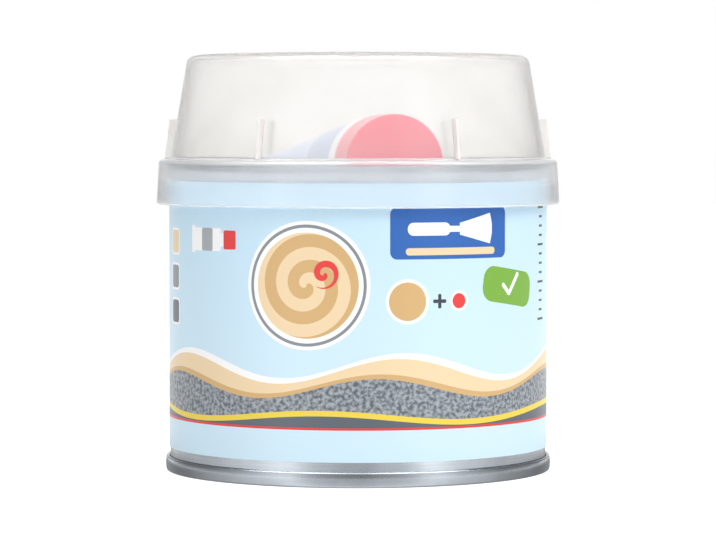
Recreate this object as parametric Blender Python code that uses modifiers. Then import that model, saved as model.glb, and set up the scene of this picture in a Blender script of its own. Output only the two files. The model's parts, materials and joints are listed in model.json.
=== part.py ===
"""Tin of two-part body filler: a seamed tinplate can with a press-in lid, a wrap label and its filler,
a tube of hardener lying in the lid's well, and a translucent mixing cap snapped over the top.

The can stands on its bottom seam with the origin at the centre of that foot, and +Z is up.
The front of the label faces -Y. Every length is written in millimetres times MM, so the model is in metres.
"""

import math

import bmesh
import bpy
from mathutils import Vector

MM = 0.001
DEG = math.pi / 180

# Facets
ROUND_STEPS = 36            # round the can, the lid and the cap
TUBE_STEPS = 24             # round the hardener tube
TUBE_CAP_STEPS = 48
BEND_STEPS = 2              # in each bend of sheet metal
SLEEVE_RINGS = 7            # sections from the crimp to where the sleeve is round
SMOOTH_ANGLE = 35 * DEG     # edges sharper than this stay crisp

# Can
CAN_HEIGHT = 80.0 * MM      # over both seams
BODY_RADIUS = 49.3 * MM     # outside of the body's plate
BODY_PLATE = 0.25 * MM
END_PLATE = 0.28 * MM       # plate of the bottom end, the top ring and the lid

# Double seams, where an end is folded round the body's flange
SEAM_HEIGHT = 3.9 * MM
SEAM_GAP = 0.15 * MM        # between two folded layers
SEAM_BEND = 0.42 * MM       # bend radius at the middle of the plate
SEAL_THICKNESS = 0.3 * MM   # sealing compound in the fold
SEAL_GAP = 0.1 * MM
HOOK_CLEARANCE = 0.35 * MM  # from a hook's edge to the fold that it reaches into

# Bottom end
PANEL_HEIGHT = 3.6 * MM     # above the foot
GROOVE_RISE = 1.3 * MM      # countersunk groove inside the seam, above the panel
GROOVE_WIDTH = 1.3 * MM
BEAD_INSET = 12.8 * MM      # expansion bead, in from the chuck wall
BEAD_WIDTH = 5.0 * MM
BEAD_DEPTH = 0.6 * MM

# Top ring, which the lid plugs
RING_WIDTH = 6.7 * MM       # from the body's outside to the ring's bore
RING_DROP = 3.1 * MM        # from the top seam down to the ring's bead
RING_BEAD_BEND = 1.2 * MM
RING_BEAD_STEP = 0.2 * MM   # upright stretch between the bead and the gutter
BORE_LENGTH = 7.8 * MM      # from the bead's top down to the bore's edge

# Lid
LID_CLEARANCE = 0.2 * MM    # round the plug and under the flange
LID_DEPTH = 10.1 * MM       # from the flange down to the panel
LID_CORNER = 1.2 * MM
LID_FLANGE = 2.6 * MM       # from the plug to the flange's rolled edge
LID_CURL = 0.45 * MM        # bend radius of the flange
LID_CURL_TURN = 150         # degrees that the edge is rolled under
LID_BEAD_INSET = 9.3 * MM   # stiffening bead, in from the plug
LID_BEAD_WIDTH = 3.0 * MM
LID_BEAD_DEPTH = 0.6 * MM

# Wrap label
LABEL_THICKNESS = 0.2 * MM
LABEL_GAP = 0.1 * MM
LABEL_FOOT = 2.4 * MM       # bare plate between the bottom seam and the label
LABEL_HEAD = 0.5 * MM       # bare plate between the label and the top seam
LABEL_LAP_STEPS = 1         # facets of the lap at the back
LABEL_LAP_ANGLE = 90        # degrees round from +X to where the label starts

# Filler
HEADSPACE = 5.2 * MM        # below the lid
FILL_GAP = 0.3 * MM
FILL_DISH = 0.8 * MM        # how far the middle lies below the edge
FILL_EDGE = 4.0 * MM        # width of the rounded edge

# Mixing cap
CAP_WALL = 1.4 * MM
CAP_SEAT_GAP = 0.3 * MM     # between the shoulder and the top seam
CAP_RISE = 28.4 * MM        # from the top seam to the cap's top
CAP_CORNER = 2.4 * MM
DOME_INSET = 0.2 * MM       # of the dome's foot from the body's outside
DOME_TAPER = 4.5 * MM       # how much the dome's side draws in on the way up
SHOULDER_DROP = 0.6 * MM    # fall of the shoulder towards its edge
SHOULDER_CORNER = 1.6 * MM
SKIRT_CLEARANCE = 0.4 * MM  # between the skirt and the seam
SKIRT_REACH = 10.5 * MM     # of the skirt below the top of the seam
SKIRT_FLARE = 0.5 * MM
SNAP_CLEARANCE = 0.3 * MM   # between the snap bead and the seam that it passes
SNAP_HEIGHT = 2.2 * MM
FIN_COUNT = 6
FIN_FOOT_REACH = 1.7 * MM   # of a nesting fin beyond the dome, at the shoulder
FIN_TIP_REACH = 2.0 * MM
FIN_HEIGHT = 10.0 * MM      # above the shoulder
FIN_THICKNESS = 0.8 * MM

# Hardener tube, lying on the lid
TUBE_TURN = 16 * DEG        # turn of the tube from front to back
TUBE_CAP_X = 9.4 * MM       # middle of the tube cap's end, right of the can's axis
TUBE_END_CLEARANCE = 1.3 * MM  # between the tube cap's end and the wall of the lid
TUBE_REST_GAP = 0.3 * MM
TUBE_LENGTH = 72.0 * MM
TUBE_CAP_RADIUS = 12.65 * MM
TUBE_CAP_LENGTH = 12.0 * MM
TUBE_CAP_WALL = 1.4 * MM
TUBE_CAP_EDGE = 0.8 * MM
TUBE_CAP_GAP = 0.4 * MM     # between the cap's rim and the shoulder
SLEEVE_INSET = 0.3 * MM     # of the sleeve from the cap's outside
SLEEVE_WALL = 0.5 * MM
SLEEVE_ROUND = 4.0 * MM     # length that stays round below the shoulder
SLEEVE_SWELL = 0.6          # power of the sleeve's rise from the crimp: 1 is a straight wedge
CRIMP_LENGTH = 5.0 * MM
CRIMP_THICKNESS = 1.0 * MM
SLIT_THICKNESS = 0.25 * MM  # what stays open inside the sleeve where the crimp starts
SHOULDER_PLATE = 1.6 * MM
SPIGOT_LENGTH = 2.6 * MM    # of the shoulder inside the sleeve
TUBE_FIT = 0.1 * MM         # between the shoulder and the sleeve
NECK_RADIUS = 5.0 * MM
NECK_BORE = 2.5 * MM
BOSS_CLEARANCE = 0.3 * MM   # between the neck and the cap's threaded boss
BOSS_WALL = 1.1 * MM
FOIL_THICKNESS = 0.2 * MM
FOIL_GAP = 0.1 * MM
PASTE_GAP = 0.5 * MM

# Radii of the layers of a double seam, at the middle of each plate
CHUCK_RADIUS = BODY_RADIUS - BODY_PLATE - SEAM_GAP - END_PLATE / 2
END_HOOK_RADIUS = BODY_RADIUS + SEAM_GAP + END_PLATE / 2
BODY_HOOK_RADIUS = BODY_RADIUS + 2 * SEAM_GAP + END_PLATE + BODY_PLATE / 2
SEAM_WALL_RADIUS = BODY_RADIUS + 3 * SEAM_GAP + END_PLATE + BODY_PLATE + END_PLATE / 2
SEAM_RADIUS = SEAM_WALL_RADIUS + END_PLATE / 2
BODY_FOLD = END_PLATE + SEAL_THICKNESS + 2 * SEAL_GAP + BODY_PLATE / 2  # height of the body's fold

# Places that the ring, the lid and what lies on it share
MOUTH_RADIUS = BODY_RADIUS - RING_WIDTH
RING_BEAD_TOP = CAN_HEIGHT - RING_DROP
PLUG_RADIUS = MOUTH_RADIUS - LID_CLEARANCE - END_PLATE / 2
FLANGE_HEIGHT = RING_BEAD_TOP + LID_CLEARANCE + END_PLATE / 2
LID_FLOOR = FLANGE_HEIGHT - LID_DEPTH
TUBE_AXIS_HEIGHT = LID_FLOOR + END_PLATE / 2 + TUBE_REST_GAP + TUBE_CAP_RADIUS

# Places that the mixing cap's walls and fins share
SHOULDER_UNDERSIDE = CAN_HEIGHT + CAP_SEAT_GAP
SHOULDER_HEIGHT = SHOULDER_UNDERSIDE + CAP_WALL
CAP_TOP = CAN_HEIGHT + CAP_RISE
DOME_FOOT_RADIUS = BODY_RADIUS - DOME_INSET

# Heights along the tube, from its crimped end
CAP_RIM = TUBE_LENGTH - TUBE_CAP_LENGTH
SHOULDER_TOP = CAP_RIM - TUBE_CAP_GAP
SHOULDER_FOOT = SHOULDER_TOP - SHOULDER_PLATE
SLEEVE_END = SHOULDER_FOOT - TUBE_FIT
SPIGOT_END = SLEEVE_END - SPIGOT_LENGTH
NECK_TOP = TUBE_LENGTH - TUBE_CAP_WALL - FOIL_THICKNESS - FOIL_GAP - BOSS_CLEARANCE
SLEEVE_RADIUS = TUBE_CAP_RADIUS - SLEEVE_INSET


# Profiles are lists of (radius, height) points

def arc(centre, radius, start, end, steps=BEND_STEPS):
    """Points round a centre from one angle to another, in degrees, with both ends."""
    turns = [(start + (end - start) * i / steps) * DEG for i in range(steps + 1)]
    return [(centre[0] + radius * math.cos(t), centre[1] + radius * math.sin(t)) for t in turns]


def sheet(middle, thickness):
    """Both faces of a plate that follows a line, as one outline that ends where it starts."""
    sides = ([], [])
    for i, point in enumerate(middle):
        here = Vector(point)
        before = here - Vector(middle[i - 1]) if i else None
        after = Vector(middle[i + 1]) - here if i + 1 < len(middle) else None
        along = [d.normalized() for d in (before, after) if d]
        normals = [Vector((-d.y, d.x)) for d in along]
        mitre = sum(normals, Vector((0, 0))).normalized()
        reach = thickness / 2 / mitre.dot(normals[0])
        for side, sign in zip(sides, (1, -1)):
            side.append(tuple(here + mitre * reach * sign))
    return sides[0] + sides[1][::-1]


def flipped(points, height=CAN_HEIGHT):
    """The same profile turned upside down within a height, for what repeats at the can's top."""
    return [(r, height - z) for r, z in points]


def clockwise(points):
    """The loop in the order that a Screw needs to face outwards: down its outer side."""
    area = sum(a[0] * b[1] - b[0] * a[1] for a, b in zip(points, points[1:] + points[:1]))
    return points if area < 0 else points[::-1]


# Scene helpers

def clear_scene():
    for obj in list(bpy.data.objects):
        bpy.data.objects.remove(obj, do_unlink=True)


def collection(name):
    made = bpy.data.collections.new(name)
    bpy.context.scene.collection.children.link(made)
    return made


def material(name, colour, roughness, metallic=0.0, alpha=1.0):
    made = bpy.data.materials.new(name)
    made.use_nodes = True
    shader = made.node_tree.nodes["Principled BSDF"]
    shader.inputs["Base Color"].default_value = (*colour, 1)
    shader.inputs["Roughness"].default_value = roughness
    shader.inputs["Metallic"].default_value = metallic
    shader.inputs["Alpha"].default_value = alpha
    return made


def add_object(name, data, finish, parent=None, group=None):
    obj = bpy.data.objects.new(name, data)
    (group or parts).objects.link(obj)
    if finish:
        data.materials.append(finish)
    obj.parent = parent
    return obj


def turned(name, outline, finish, parent=None, steps=ROUND_STEPS):
    """An outline revolved about Z. One that starts and ends on the axis is a disc, and any other a ring."""
    on_axis = outline[0][0] == 0 and outline[-1][0] == 0
    points = clockwise(outline)
    mesh = bpy.data.meshes.new(name)
    edges = [(i, i + 1) for i in range(len(points) - 1)]
    if not on_axis:
        edges.append((len(points) - 1, 0))
    mesh.from_pydata([(r, 0, z) for r, z in points], edges, [])
    obj = add_object(name, mesh, finish, parent)
    screw = obj.modifiers.new("Turn", "SCREW")
    screw.steps = screw.render_steps = steps
    screw.use_merge_vertices = True
    screw.merge_threshold = 1e-6
    screw.use_smooth_shade = False
    return obj


def extruded(name, outline, thickness, finish, group=None):
    """A flat outline in XY, thickened evenly about its plane."""
    curve = bpy.data.curves.new(name, "CURVE")
    curve.dimensions = "2D"
    curve.fill_mode = "BOTH"
    curve.extrude = thickness / 2
    spline = curve.splines.new("POLY")
    spline.points.add(len(outline) - 1)
    for point, (x, y) in zip(spline.points, outline):
        point.co = (x, y, 0, 1)
    spline.use_cyclic_u = True
    return add_object(name, curve, finish, group=group)


def as_mesh(obj):
    """The object's evaluated shape as a mesh object in its place, with loose caps welded."""
    bpy.context.view_layer.update()
    graph = bpy.context.evaluated_depsgraph_get()
    mesh = bpy.data.meshes.new_from_object(obj.evaluated_get(graph))
    work = bmesh.new()
    work.from_mesh(mesh)
    bmesh.ops.remove_doubles(work, verts=work.verts, dist=1e-6)
    work.to_mesh(mesh)
    work.free()
    name, place, groups = obj.name, obj.matrix_world.copy(), list(obj.users_collection)
    bpy.data.objects.remove(obj)
    made = bpy.data.objects.new(name, mesh)
    made.matrix_world = place
    for group in groups:
        group.objects.link(made)
    return made


def lofted(name, rings, finish, parent):
    """A skin through closed rings of equal count, with a flat face at each end."""
    work = bmesh.new()
    rows = [[work.verts.new(p) for p in ring] for ring in rings]
    for row, following in zip(rows, rows[1:]):
        for i in range(len(row)):
            j = (i + 1) % len(row)
            work.faces.new((row[i], row[j], following[j], following[i]))
    if rings[0] != rings[-1]:
        work.faces.new(rows[0][::-1])
        work.faces.new(rows[-1])
    bmesh.ops.remove_doubles(work, verts=work.verts, dist=1e-7)
    bmesh.ops.recalc_face_normals(work, faces=work.faces)
    mesh = bpy.data.meshes.new(name)
    work.to_mesh(mesh)
    work.free()
    return add_object(name, mesh, finish, parent)


# Can

def seam_fold():
    """The end's line round the bottom seam, from the chuck wall's foot to the edge of its hook."""
    low = END_PLATE / 2
    inner = arc((CHUCK_RADIUS + SEAM_BEND, low + SEAM_BEND), SEAM_BEND, 180, 270)
    outer = arc((SEAM_WALL_RADIUS - SEAM_BEND, low + SEAM_BEND), SEAM_BEND, 270, 360)
    half = (SEAM_WALL_RADIUS - END_HOOK_RADIUS) / 2
    top = SEAM_HEIGHT - END_PLATE / 2 - half
    over = arc((SEAM_WALL_RADIUS - half, top), half, 0, 180, 2 * BEND_STEPS)
    edge = BODY_FOLD + BODY_PLATE / 2 + HOOK_CLEARANCE
    return inner + outer + over + [(END_HOOK_RADIUS, edge)]


def body_fold():
    """The body's line from the edge of its hook, round the flange's fold, to its wall."""
    edge = SEAM_HEIGHT - END_PLATE - HOOK_CLEARANCE
    wall = BODY_RADIUS - BODY_PLATE / 2
    half = (BODY_HOOK_RADIUS - wall) / 2
    fold = arc((BODY_HOOK_RADIUS - half, BODY_FOLD + half), half, 360, 180, 2 * BEND_STEPS)
    return [(BODY_HOOK_RADIUS, edge)] + fold


def make_can_body():
    line = body_fold() + flipped(body_fold())[::-1]
    turned("can_body", sheet(line, BODY_PLATE), tinplate)


def make_can_bottom():
    bead_out = CHUCK_RADIUS - BEAD_INSET
    bead_in = bead_out - BEAD_WIDTH
    half = GROOVE_WIDTH / 2
    groove_top = PANEL_HEIGHT + GROOVE_RISE
    middle = [
        (0, PANEL_HEIGHT),
        (bead_in, PANEL_HEIGHT),
        (bead_in + BEAD_DEPTH, PANEL_HEIGHT - BEAD_DEPTH),
        (bead_out - BEAD_DEPTH, PANEL_HEIGHT - BEAD_DEPTH),
        (bead_out, PANEL_HEIGHT),
        (CHUCK_RADIUS - GROOVE_WIDTH - half, PANEL_HEIGHT),
    ]
    middle += arc((CHUCK_RADIUS - half, groove_top - half), half, 180, 0)
    turned("can_bottom", sheet(middle + seam_fold(), END_PLATE), tinplate)


def seal_outline():
    low = END_PLATE + SEAL_GAP
    inner = BODY_RADIUS - BODY_PLATE + SEAM_BEND
    outer = SEAM_WALL_RADIUS - END_PLATE / 2 - SEAM_BEND / 2
    return [(inner, low), (outer, low), (outer, low + SEAL_THICKNESS), (inner, low + SEAL_THICKNESS)]


def make_seals():
    turned("bottom_seam_seal", seal_outline(), compound)
    turned("top_seam_seal", flipped(seal_outline()), compound)


def make_top_ring():
    bore = MOUTH_RADIUS + END_PLATE / 2
    bead_centre = RING_BEAD_TOP - END_PLATE / 2 - RING_BEAD_BEND
    bead_edge = bore + 2 * RING_BEAD_BEND
    gutter = bead_centre - RING_BEAD_STEP
    line = [(bore, RING_BEAD_TOP - BORE_LENGTH)]
    line += arc((bore + RING_BEAD_BEND, bead_centre), RING_BEAD_BEND, 180, 0, 2 * BEND_STEPS)
    line += [(bead_edge, gutter), (CHUCK_RADIUS - SEAM_BEND, gutter), (CHUCK_RADIUS, gutter + SEAM_BEND)]
    line += flipped(seam_fold())
    turned("top_ring", sheet(line, END_PLATE), tinplate)


def make_lid():
    bead_out = PLUG_RADIUS - LID_BEAD_INSET
    bead_in = bead_out - LID_BEAD_WIDTH
    middle = [
        (0, LID_FLOOR),
        (bead_in, LID_FLOOR),
        (bead_in + LID_BEAD_DEPTH, LID_FLOOR - LID_BEAD_DEPTH),
        (bead_out - LID_BEAD_DEPTH, LID_FLOOR - LID_BEAD_DEPTH),
        (bead_out, LID_FLOOR),
    ]
    bend_height = FLANGE_HEIGHT - LID_CURL
    middle += arc((PLUG_RADIUS - LID_CORNER, LID_FLOOR + LID_CORNER), LID_CORNER, 270, 360)
    middle += arc((PLUG_RADIUS + LID_CURL, bend_height), LID_CURL, 180, 90)
    middle += arc((PLUG_RADIUS + LID_FLANGE, bend_height), LID_CURL, 90, 90 - LID_CURL_TURN, BEND_STEPS + 1)
    turned("lever_lid", sheet(middle, END_PLATE), lid_plate)


def make_label():
    """A strip wound once round the body, with its end lapped over its start at the back."""
    low = SEAM_HEIGHT + LABEL_FOOT
    high = CAN_HEIGHT - SEAM_HEIGHT - LABEL_HEAD
    lift = LABEL_THICKNESS + LABEL_GAP
    inner, outer = [], []
    for i in range(ROUND_STEPS + LABEL_LAP_STEPS + 1):
        radius = BODY_RADIUS + LABEL_GAP + (lift if i >= ROUND_STEPS else 0)
        angle = LABEL_LAP_ANGLE * DEG + i * 2 * math.pi / ROUND_STEPS
        for side, r in ((inner, radius), (outer, radius + LABEL_THICKNESS)):
            side.append((r * math.cos(angle), r * math.sin(angle)))
    label = extruded("wrap_label", inner + outer[::-1], high - low, print_film)
    label.location.z = (low + high) / 2


def make_filler():
    radius = BODY_RADIUS - BODY_PLATE - FILL_GAP
    base = PANEL_HEIGHT + GROOVE_RISE + END_PLATE / 2 + FILL_GAP
    level = LID_FLOOR - LID_BEAD_DEPTH - END_PLATE / 2 - HEADSPACE
    outline = [
        (0, level - FILL_DISH),
        (radius / 2, level - FILL_DISH / 2),
        (radius - FILL_EDGE, level),
        (radius, level - FILL_DISH),
        (radius, base),
        (0, base),
    ]
    turned("filler_paste", outline, filler)


# Mixing cap

def dome_radius(z):
    """Outside of the dome's sloping side at a height."""
    share = (z - SHOULDER_HEIGHT) / (CAP_TOP - SHOULDER_HEIGHT)
    return DOME_FOOT_RADIUS - DOME_TAPER * share


def make_mixing_cap():
    slope = math.atan2(DOME_TAPER, CAP_TOP - SHOULDER_HEIGHT) / DEG
    side = CAP_WALL / math.cos(slope * DEG)  # the side wall's thickness measured level

    def top_corner(radius, inset):
        """The rounded corner between the top and the side, that far inside the outer faces."""
        z = CAP_TOP - inset
        wall = dome_radius(z) - inset / math.cos(slope * DEG)
        return arc((wall - radius * math.tan((90 - slope) / 2 * DEG), z - radius), radius, 90, slope)

    snap_radius = SEAM_RADIUS + SNAP_CLEARANCE
    snap_top = CAN_HEIGHT - SEAM_HEIGHT - SNAP_CLEARANCE
    skirt_foot = CAN_HEIGHT - SKIRT_REACH
    inner_top = SEAM_RADIUS + SKIRT_CLEARANCE
    outer_top = inner_top + CAP_WALL
    corner_height = SHOULDER_HEIGHT - SHOULDER_DROP - SHOULDER_CORNER
    outline = [(0, CAP_TOP)]
    outline += top_corner(CAP_CORNER, 0)
    outline += [(DOME_FOOT_RADIUS, SHOULDER_HEIGHT)]
    outline += arc((outer_top - SHOULDER_CORNER, corner_height), SHOULDER_CORNER, 90, 0)
    outline += [
        (outer_top + SKIRT_FLARE, skirt_foot),
        (inner_top + SKIRT_FLARE, skirt_foot),
        (inner_top + SKIRT_FLARE, snap_top - SNAP_HEIGHT),
        (snap_radius, snap_top - SNAP_HEIGHT / 2),
        (inner_top, snap_top),
        (inner_top, SHOULDER_UNDERSIDE),
        (dome_radius(SHOULDER_UNDERSIDE) - side, SHOULDER_UNDERSIDE),
    ]
    outline += top_corner(CAP_CORNER - CAP_WALL, CAP_WALL)[::-1]
    outline += [(0, CAP_TOP - CAP_WALL)]
    cap = turned("mixing_cap", outline, clear_plastic)

    foot = SHOULDER_HEIGHT - CAP_WALL / 2
    tip = SHOULDER_HEIGHT + FIN_HEIGHT
    fin_outline = [
        (dome_radius(foot) - side / 2, foot),
        (DOME_FOOT_RADIUS + FIN_FOOT_REACH, foot),
        (dome_radius(tip) + FIN_TIP_REACH, tip),
        (dome_radius(tip) - side / 2, tip),
    ]
    for i in range(FIN_COUNT):
        fin = as_mesh(extruded(f"nesting_fin_{i}", fin_outline, FIN_THICKNESS, None, helpers))
        fin.rotation_euler = (90 * DEG, 0, i * 2 * math.pi / FIN_COUNT)
        fin.hide_render = True
        fin.display_type = "WIRE"
        join = cap.modifiers.new(f"Fin {i}", "BOOLEAN")
        join.operation = "UNION"
        join.object = fin


# Hardener tube, modelled along +Z from its crimped end to its cap, then laid down

def tube_cap_y():
    """How far forward the tube lies with both corners of its cap's end clear of the lid's wall."""
    reach = PLUG_RADIUS - END_PLATE / 2 - TUBE_END_CLEARANCE
    across = TUBE_CAP_RADIUS * math.cos(TUBE_TURN)
    along = TUBE_CAP_RADIUS * math.sin(TUBE_TURN)
    left = along - math.sqrt(reach ** 2 - (TUBE_CAP_X - across) ** 2)
    right = -along - math.sqrt(reach ** 2 - (TUBE_CAP_X + across) ** 2)
    return max(left, right)


def tube_axis():
    """An empty on the tube's line, at the crimped end, with its Z towards the cap."""
    axis = bpy.data.objects.new("tube_axis", None)
    parts.objects.link(axis)
    back = Vector((-math.sin(TUBE_TURN), math.cos(TUBE_TURN), 0)) * TUBE_LENGTH
    axis.location = Vector((TUBE_CAP_X, tube_cap_y(), TUBE_AXIS_HEIGHT)) + back
    axis.rotation_euler = (90 * DEG, 0, TUBE_TURN)
    return axis


def flattened_width(radius, half_height):
    """Half the width of an ellipse of that height which measures the same all round as the circle."""
    narrow, wide = radius, 2 * radius
    for _ in range(40):
        width = (narrow + wide) / 2
        total = width + half_height
        bulge = 3 * ((width - half_height) / total) ** 2
        longer = total * (1 + bulge / (10 + math.sqrt(4 - bulge))) > 2 * radius
        narrow, wide = (narrow, width) if longer else (width, wide)
    return width


def sleeve_ring(z, inset=0.0):
    """A section of the sleeve, that far inside its face: round at the shoulder, flat at the crimp."""
    thin = CRIMP_THICKNESS / 2
    round_share = min(max((z - CRIMP_LENGTH) / (SLEEVE_END - SLEEVE_ROUND - CRIMP_LENGTH), 0), 1)
    half_height = thin + (SLEEVE_RADIUS - thin) * round_share ** SLEEVE_SWELL
    half_width = flattened_width(SLEEVE_RADIUS, half_height) - inset
    power = 0.5 if round_share == 0 else 1  # the crimp is a flat band and the rest is an ellipse
    half_height = max(half_height - inset, SLIT_THICKNESS / 2)
    ring = []
    for i in range(TUBE_STEPS):
        turn = 2 * math.pi * i / TUBE_STEPS
        across, up = math.cos(turn), math.sin(turn)
        x = math.copysign(abs(across) ** power, across) * half_width
        y = math.copysign(abs(up) ** power, up) * half_height
        ring.append((x, y, z))
    return ring


def sleeve_heights():
    """Heights of the sections from the crimp to where the sleeve is round."""
    low = CRIMP_LENGTH + SLEEVE_WALL
    high = SLEEVE_END - SLEEVE_ROUND
    return [low + (high - low) * i / (SLEEVE_RINGS - 1) for i in range(SLEEVE_RINGS)]


def make_sleeve(axis):
    heights = sleeve_heights() + [SLEEVE_END]
    outer = [sleeve_ring(z) for z in [0, CRIMP_LENGTH] + heights]
    inner = [sleeve_ring(z, SLEEVE_WALL) for z in heights]
    lofted("tube_sleeve", outer + inner[::-1], sleeve_film, axis)


def make_hardener(axis):
    heights = sleeve_heights()[1:] + [SPIGOT_END - PASTE_GAP]
    rings = [sleeve_ring(z, SLEEVE_WALL + PASTE_GAP) for z in heights]
    lofted("hardener_paste", rings, hardener, axis)


def make_shoulder(axis):
    spigot = SLEEVE_RADIUS - SLEEVE_WALL - TUBE_FIT
    outline = [
        (NECK_BORE, NECK_TOP),
        (NECK_RADIUS, NECK_TOP),
        (NECK_RADIUS, SHOULDER_TOP),
        (SLEEVE_RADIUS, SHOULDER_TOP),
        (SLEEVE_RADIUS, SHOULDER_FOOT),
        (spigot, SHOULDER_FOOT),
        (spigot, SPIGOT_END),
        (spigot - SHOULDER_PLATE, SPIGOT_END),
        (spigot - SHOULDER_PLATE, SHOULDER_FOOT),
        (NECK_BORE, SHOULDER_FOOT),
    ]
    turned("tube_shoulder", outline, shoulder_plastic, axis, TUBE_STEPS)


def make_foil(axis):
    low = NECK_TOP + FOIL_GAP
    outline = [(0, low + FOIL_THICKNESS), (NECK_RADIUS, low + FOIL_THICKNESS), (NECK_RADIUS, low), (0, low)]
    turned("tube_foil_seal", outline, foil, axis, TUBE_STEPS)


def make_tube_cap(axis):
    roof = TUBE_LENGTH - TUBE_CAP_WALL
    boss = NECK_RADIUS + BOSS_CLEARANCE
    boss_end = CAP_RIM + BOSS_CLEARANCE
    skirt = TUBE_CAP_RADIUS - TUBE_CAP_WALL
    outline = [(0, TUBE_LENGTH)]
    outline += arc((TUBE_CAP_RADIUS - TUBE_CAP_EDGE, TUBE_LENGTH - TUBE_CAP_EDGE), TUBE_CAP_EDGE, 90, 0)
    outline += [
        (TUBE_CAP_RADIUS, CAP_RIM),
        (skirt, CAP_RIM),
        (skirt, roof),
        (boss + BOSS_WALL, roof),
        (boss + BOSS_WALL, boss_end),
        (boss, boss_end),
        (boss, roof),
        (0, roof),
    ]
    turned("tube_cap", outline, cap_red, axis, TUBE_CAP_STEPS)


def shade_round_pieces():
    for obj in parts.objects:
        if obj.type == "MESH":
            obj.data.shade_smooth()
            obj.data.set_sharp_from_angle(angle=SMOOTH_ANGLE)


clear_scene()
parts = collection("body_filler_tin")
helpers = collection("cutters")

tinplate = material("Tinplate", (0.62, 0.63, 0.64), 0.3, 1.0)
lid_plate = material("Lid tinplate", (0.66, 0.66, 0.65), 0.35, 1.0)
compound = material("Sealing compound", (0.55, 0.5, 0.42), 0.7)
print_film = material("Label film", (0.62, 0.81, 0.92), 0.3)
filler = material("Polyester filler", (0.72, 0.55, 0.34), 0.6)
clear_plastic = material("Natural polypropylene", (0.93, 0.94, 0.95), 0.25, alpha=0.35)
sleeve_film = material("Tube polyethylene", (0.88, 0.89, 0.9), 0.4)
shoulder_plastic = material("Shoulder polyethylene", (0.9, 0.9, 0.9), 0.45)
foil = material("Sealing foil", (0.8, 0.8, 0.8), 0.25, 1.0)
hardener = material("Hardener paste", (0.75, 0.16, 0.12), 0.5)
cap_red = material("Red polypropylene", (0.8, 0.05, 0.12), 0.35)

make_can_body()
make_can_bottom()
make_seals()
make_top_ring()
make_lid()
make_label()
make_filler()
make_mixing_cap()
axis_of_tube = tube_axis()
make_sleeve(axis_of_tube)
make_hardener(axis_of_tube)
make_shoulder(axis_of_tube)
make_foil(axis_of_tube)
make_tube_cap(axis_of_tube)
shade_round_pieces()
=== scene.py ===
import json
import math

import bmesh
import bpy
from mathutils import Matrix, Vector, noise


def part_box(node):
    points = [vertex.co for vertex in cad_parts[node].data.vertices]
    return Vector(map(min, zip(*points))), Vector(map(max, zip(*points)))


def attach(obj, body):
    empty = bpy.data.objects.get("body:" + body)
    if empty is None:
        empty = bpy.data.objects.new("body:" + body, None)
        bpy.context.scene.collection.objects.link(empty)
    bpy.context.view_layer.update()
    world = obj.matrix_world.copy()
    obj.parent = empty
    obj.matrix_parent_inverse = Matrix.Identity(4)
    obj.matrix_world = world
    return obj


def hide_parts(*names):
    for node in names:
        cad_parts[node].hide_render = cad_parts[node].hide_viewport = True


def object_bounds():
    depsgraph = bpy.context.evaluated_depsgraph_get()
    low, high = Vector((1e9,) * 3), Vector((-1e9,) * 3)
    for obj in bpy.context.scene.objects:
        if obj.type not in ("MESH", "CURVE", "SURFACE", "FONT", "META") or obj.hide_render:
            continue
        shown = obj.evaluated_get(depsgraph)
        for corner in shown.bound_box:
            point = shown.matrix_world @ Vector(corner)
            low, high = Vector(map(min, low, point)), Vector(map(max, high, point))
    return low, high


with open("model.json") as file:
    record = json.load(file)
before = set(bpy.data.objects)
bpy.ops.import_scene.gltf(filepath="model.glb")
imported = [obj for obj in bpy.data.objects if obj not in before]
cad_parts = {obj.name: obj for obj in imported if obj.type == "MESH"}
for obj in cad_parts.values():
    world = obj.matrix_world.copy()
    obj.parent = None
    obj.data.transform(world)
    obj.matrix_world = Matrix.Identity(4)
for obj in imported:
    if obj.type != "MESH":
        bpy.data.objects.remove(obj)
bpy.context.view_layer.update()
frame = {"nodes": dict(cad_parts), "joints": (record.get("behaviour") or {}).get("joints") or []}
mm = 0.001


# Colour and node helpers

def linear(hexColour):
    # sRGB hex to the linear colour that shader sockets take
    channels = [int(hexColour[i:i + 2], 16) / 255 for i in (1, 3, 5)]
    return [c / 12.92 if c <= 0.04045 else ((c + 0.055) / 1.055) ** 2.4 for c in channels] + [1.0]


def addNode(tree, kind, settings=None, inputs=None):
    # settings are the node's own properties, inputs are values or sockets to link, by name or number
    node = tree.nodes.new(kind)
    for name, value in (settings or {}).items():
        setattr(node, name, value)
    for key, value in (inputs or {}).items():
        if isinstance(value, bpy.types.NodeSocket):
            tree.links.new(value, node.inputs[key])
        else:
            node.inputs[key].default_value = value
    return node


def newMaterial(name, shaderInputs):
    # a material whose one Principled shader has these values; returns it with its tree and shader
    material = bpy.data.materials.new(name)
    material.use_nodes = True
    tree = material.node_tree
    shader = tree.nodes["Principled BSDF"]
    for key, value in shaderInputs.items():
        shader.inputs[key].default_value = value
    return material, tree, shader


def wire(tree, shader, sources):
    # links each socket to the shader's input of that name
    for name, socket in sources.items():
        tree.links.new(socket, shader.inputs[name])


def paintLayers(tree, ground, layers):
    # lays one ink after another over the ground, each where its mask is 1
    for mask, colour in layers:
        ink = colour if isinstance(colour, bpy.types.NodeSocket) else linear(colour)
        mix = addNode(tree, "ShaderNodeMix", {"data_type": "RGBA"}, {0: mask, 6: ground, 7: ink})
        ground = mix.outputs[2]
    return ground


# Mesh helpers: profile points are (radius, height) or (radius, height, bend radius) in millimetres

sharpAngle = 32   # degrees between two faces, from which their edge is drawn sharp


def boxInMillimetres(node):
    low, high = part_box(node)
    return low / mm, high / mm


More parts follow.
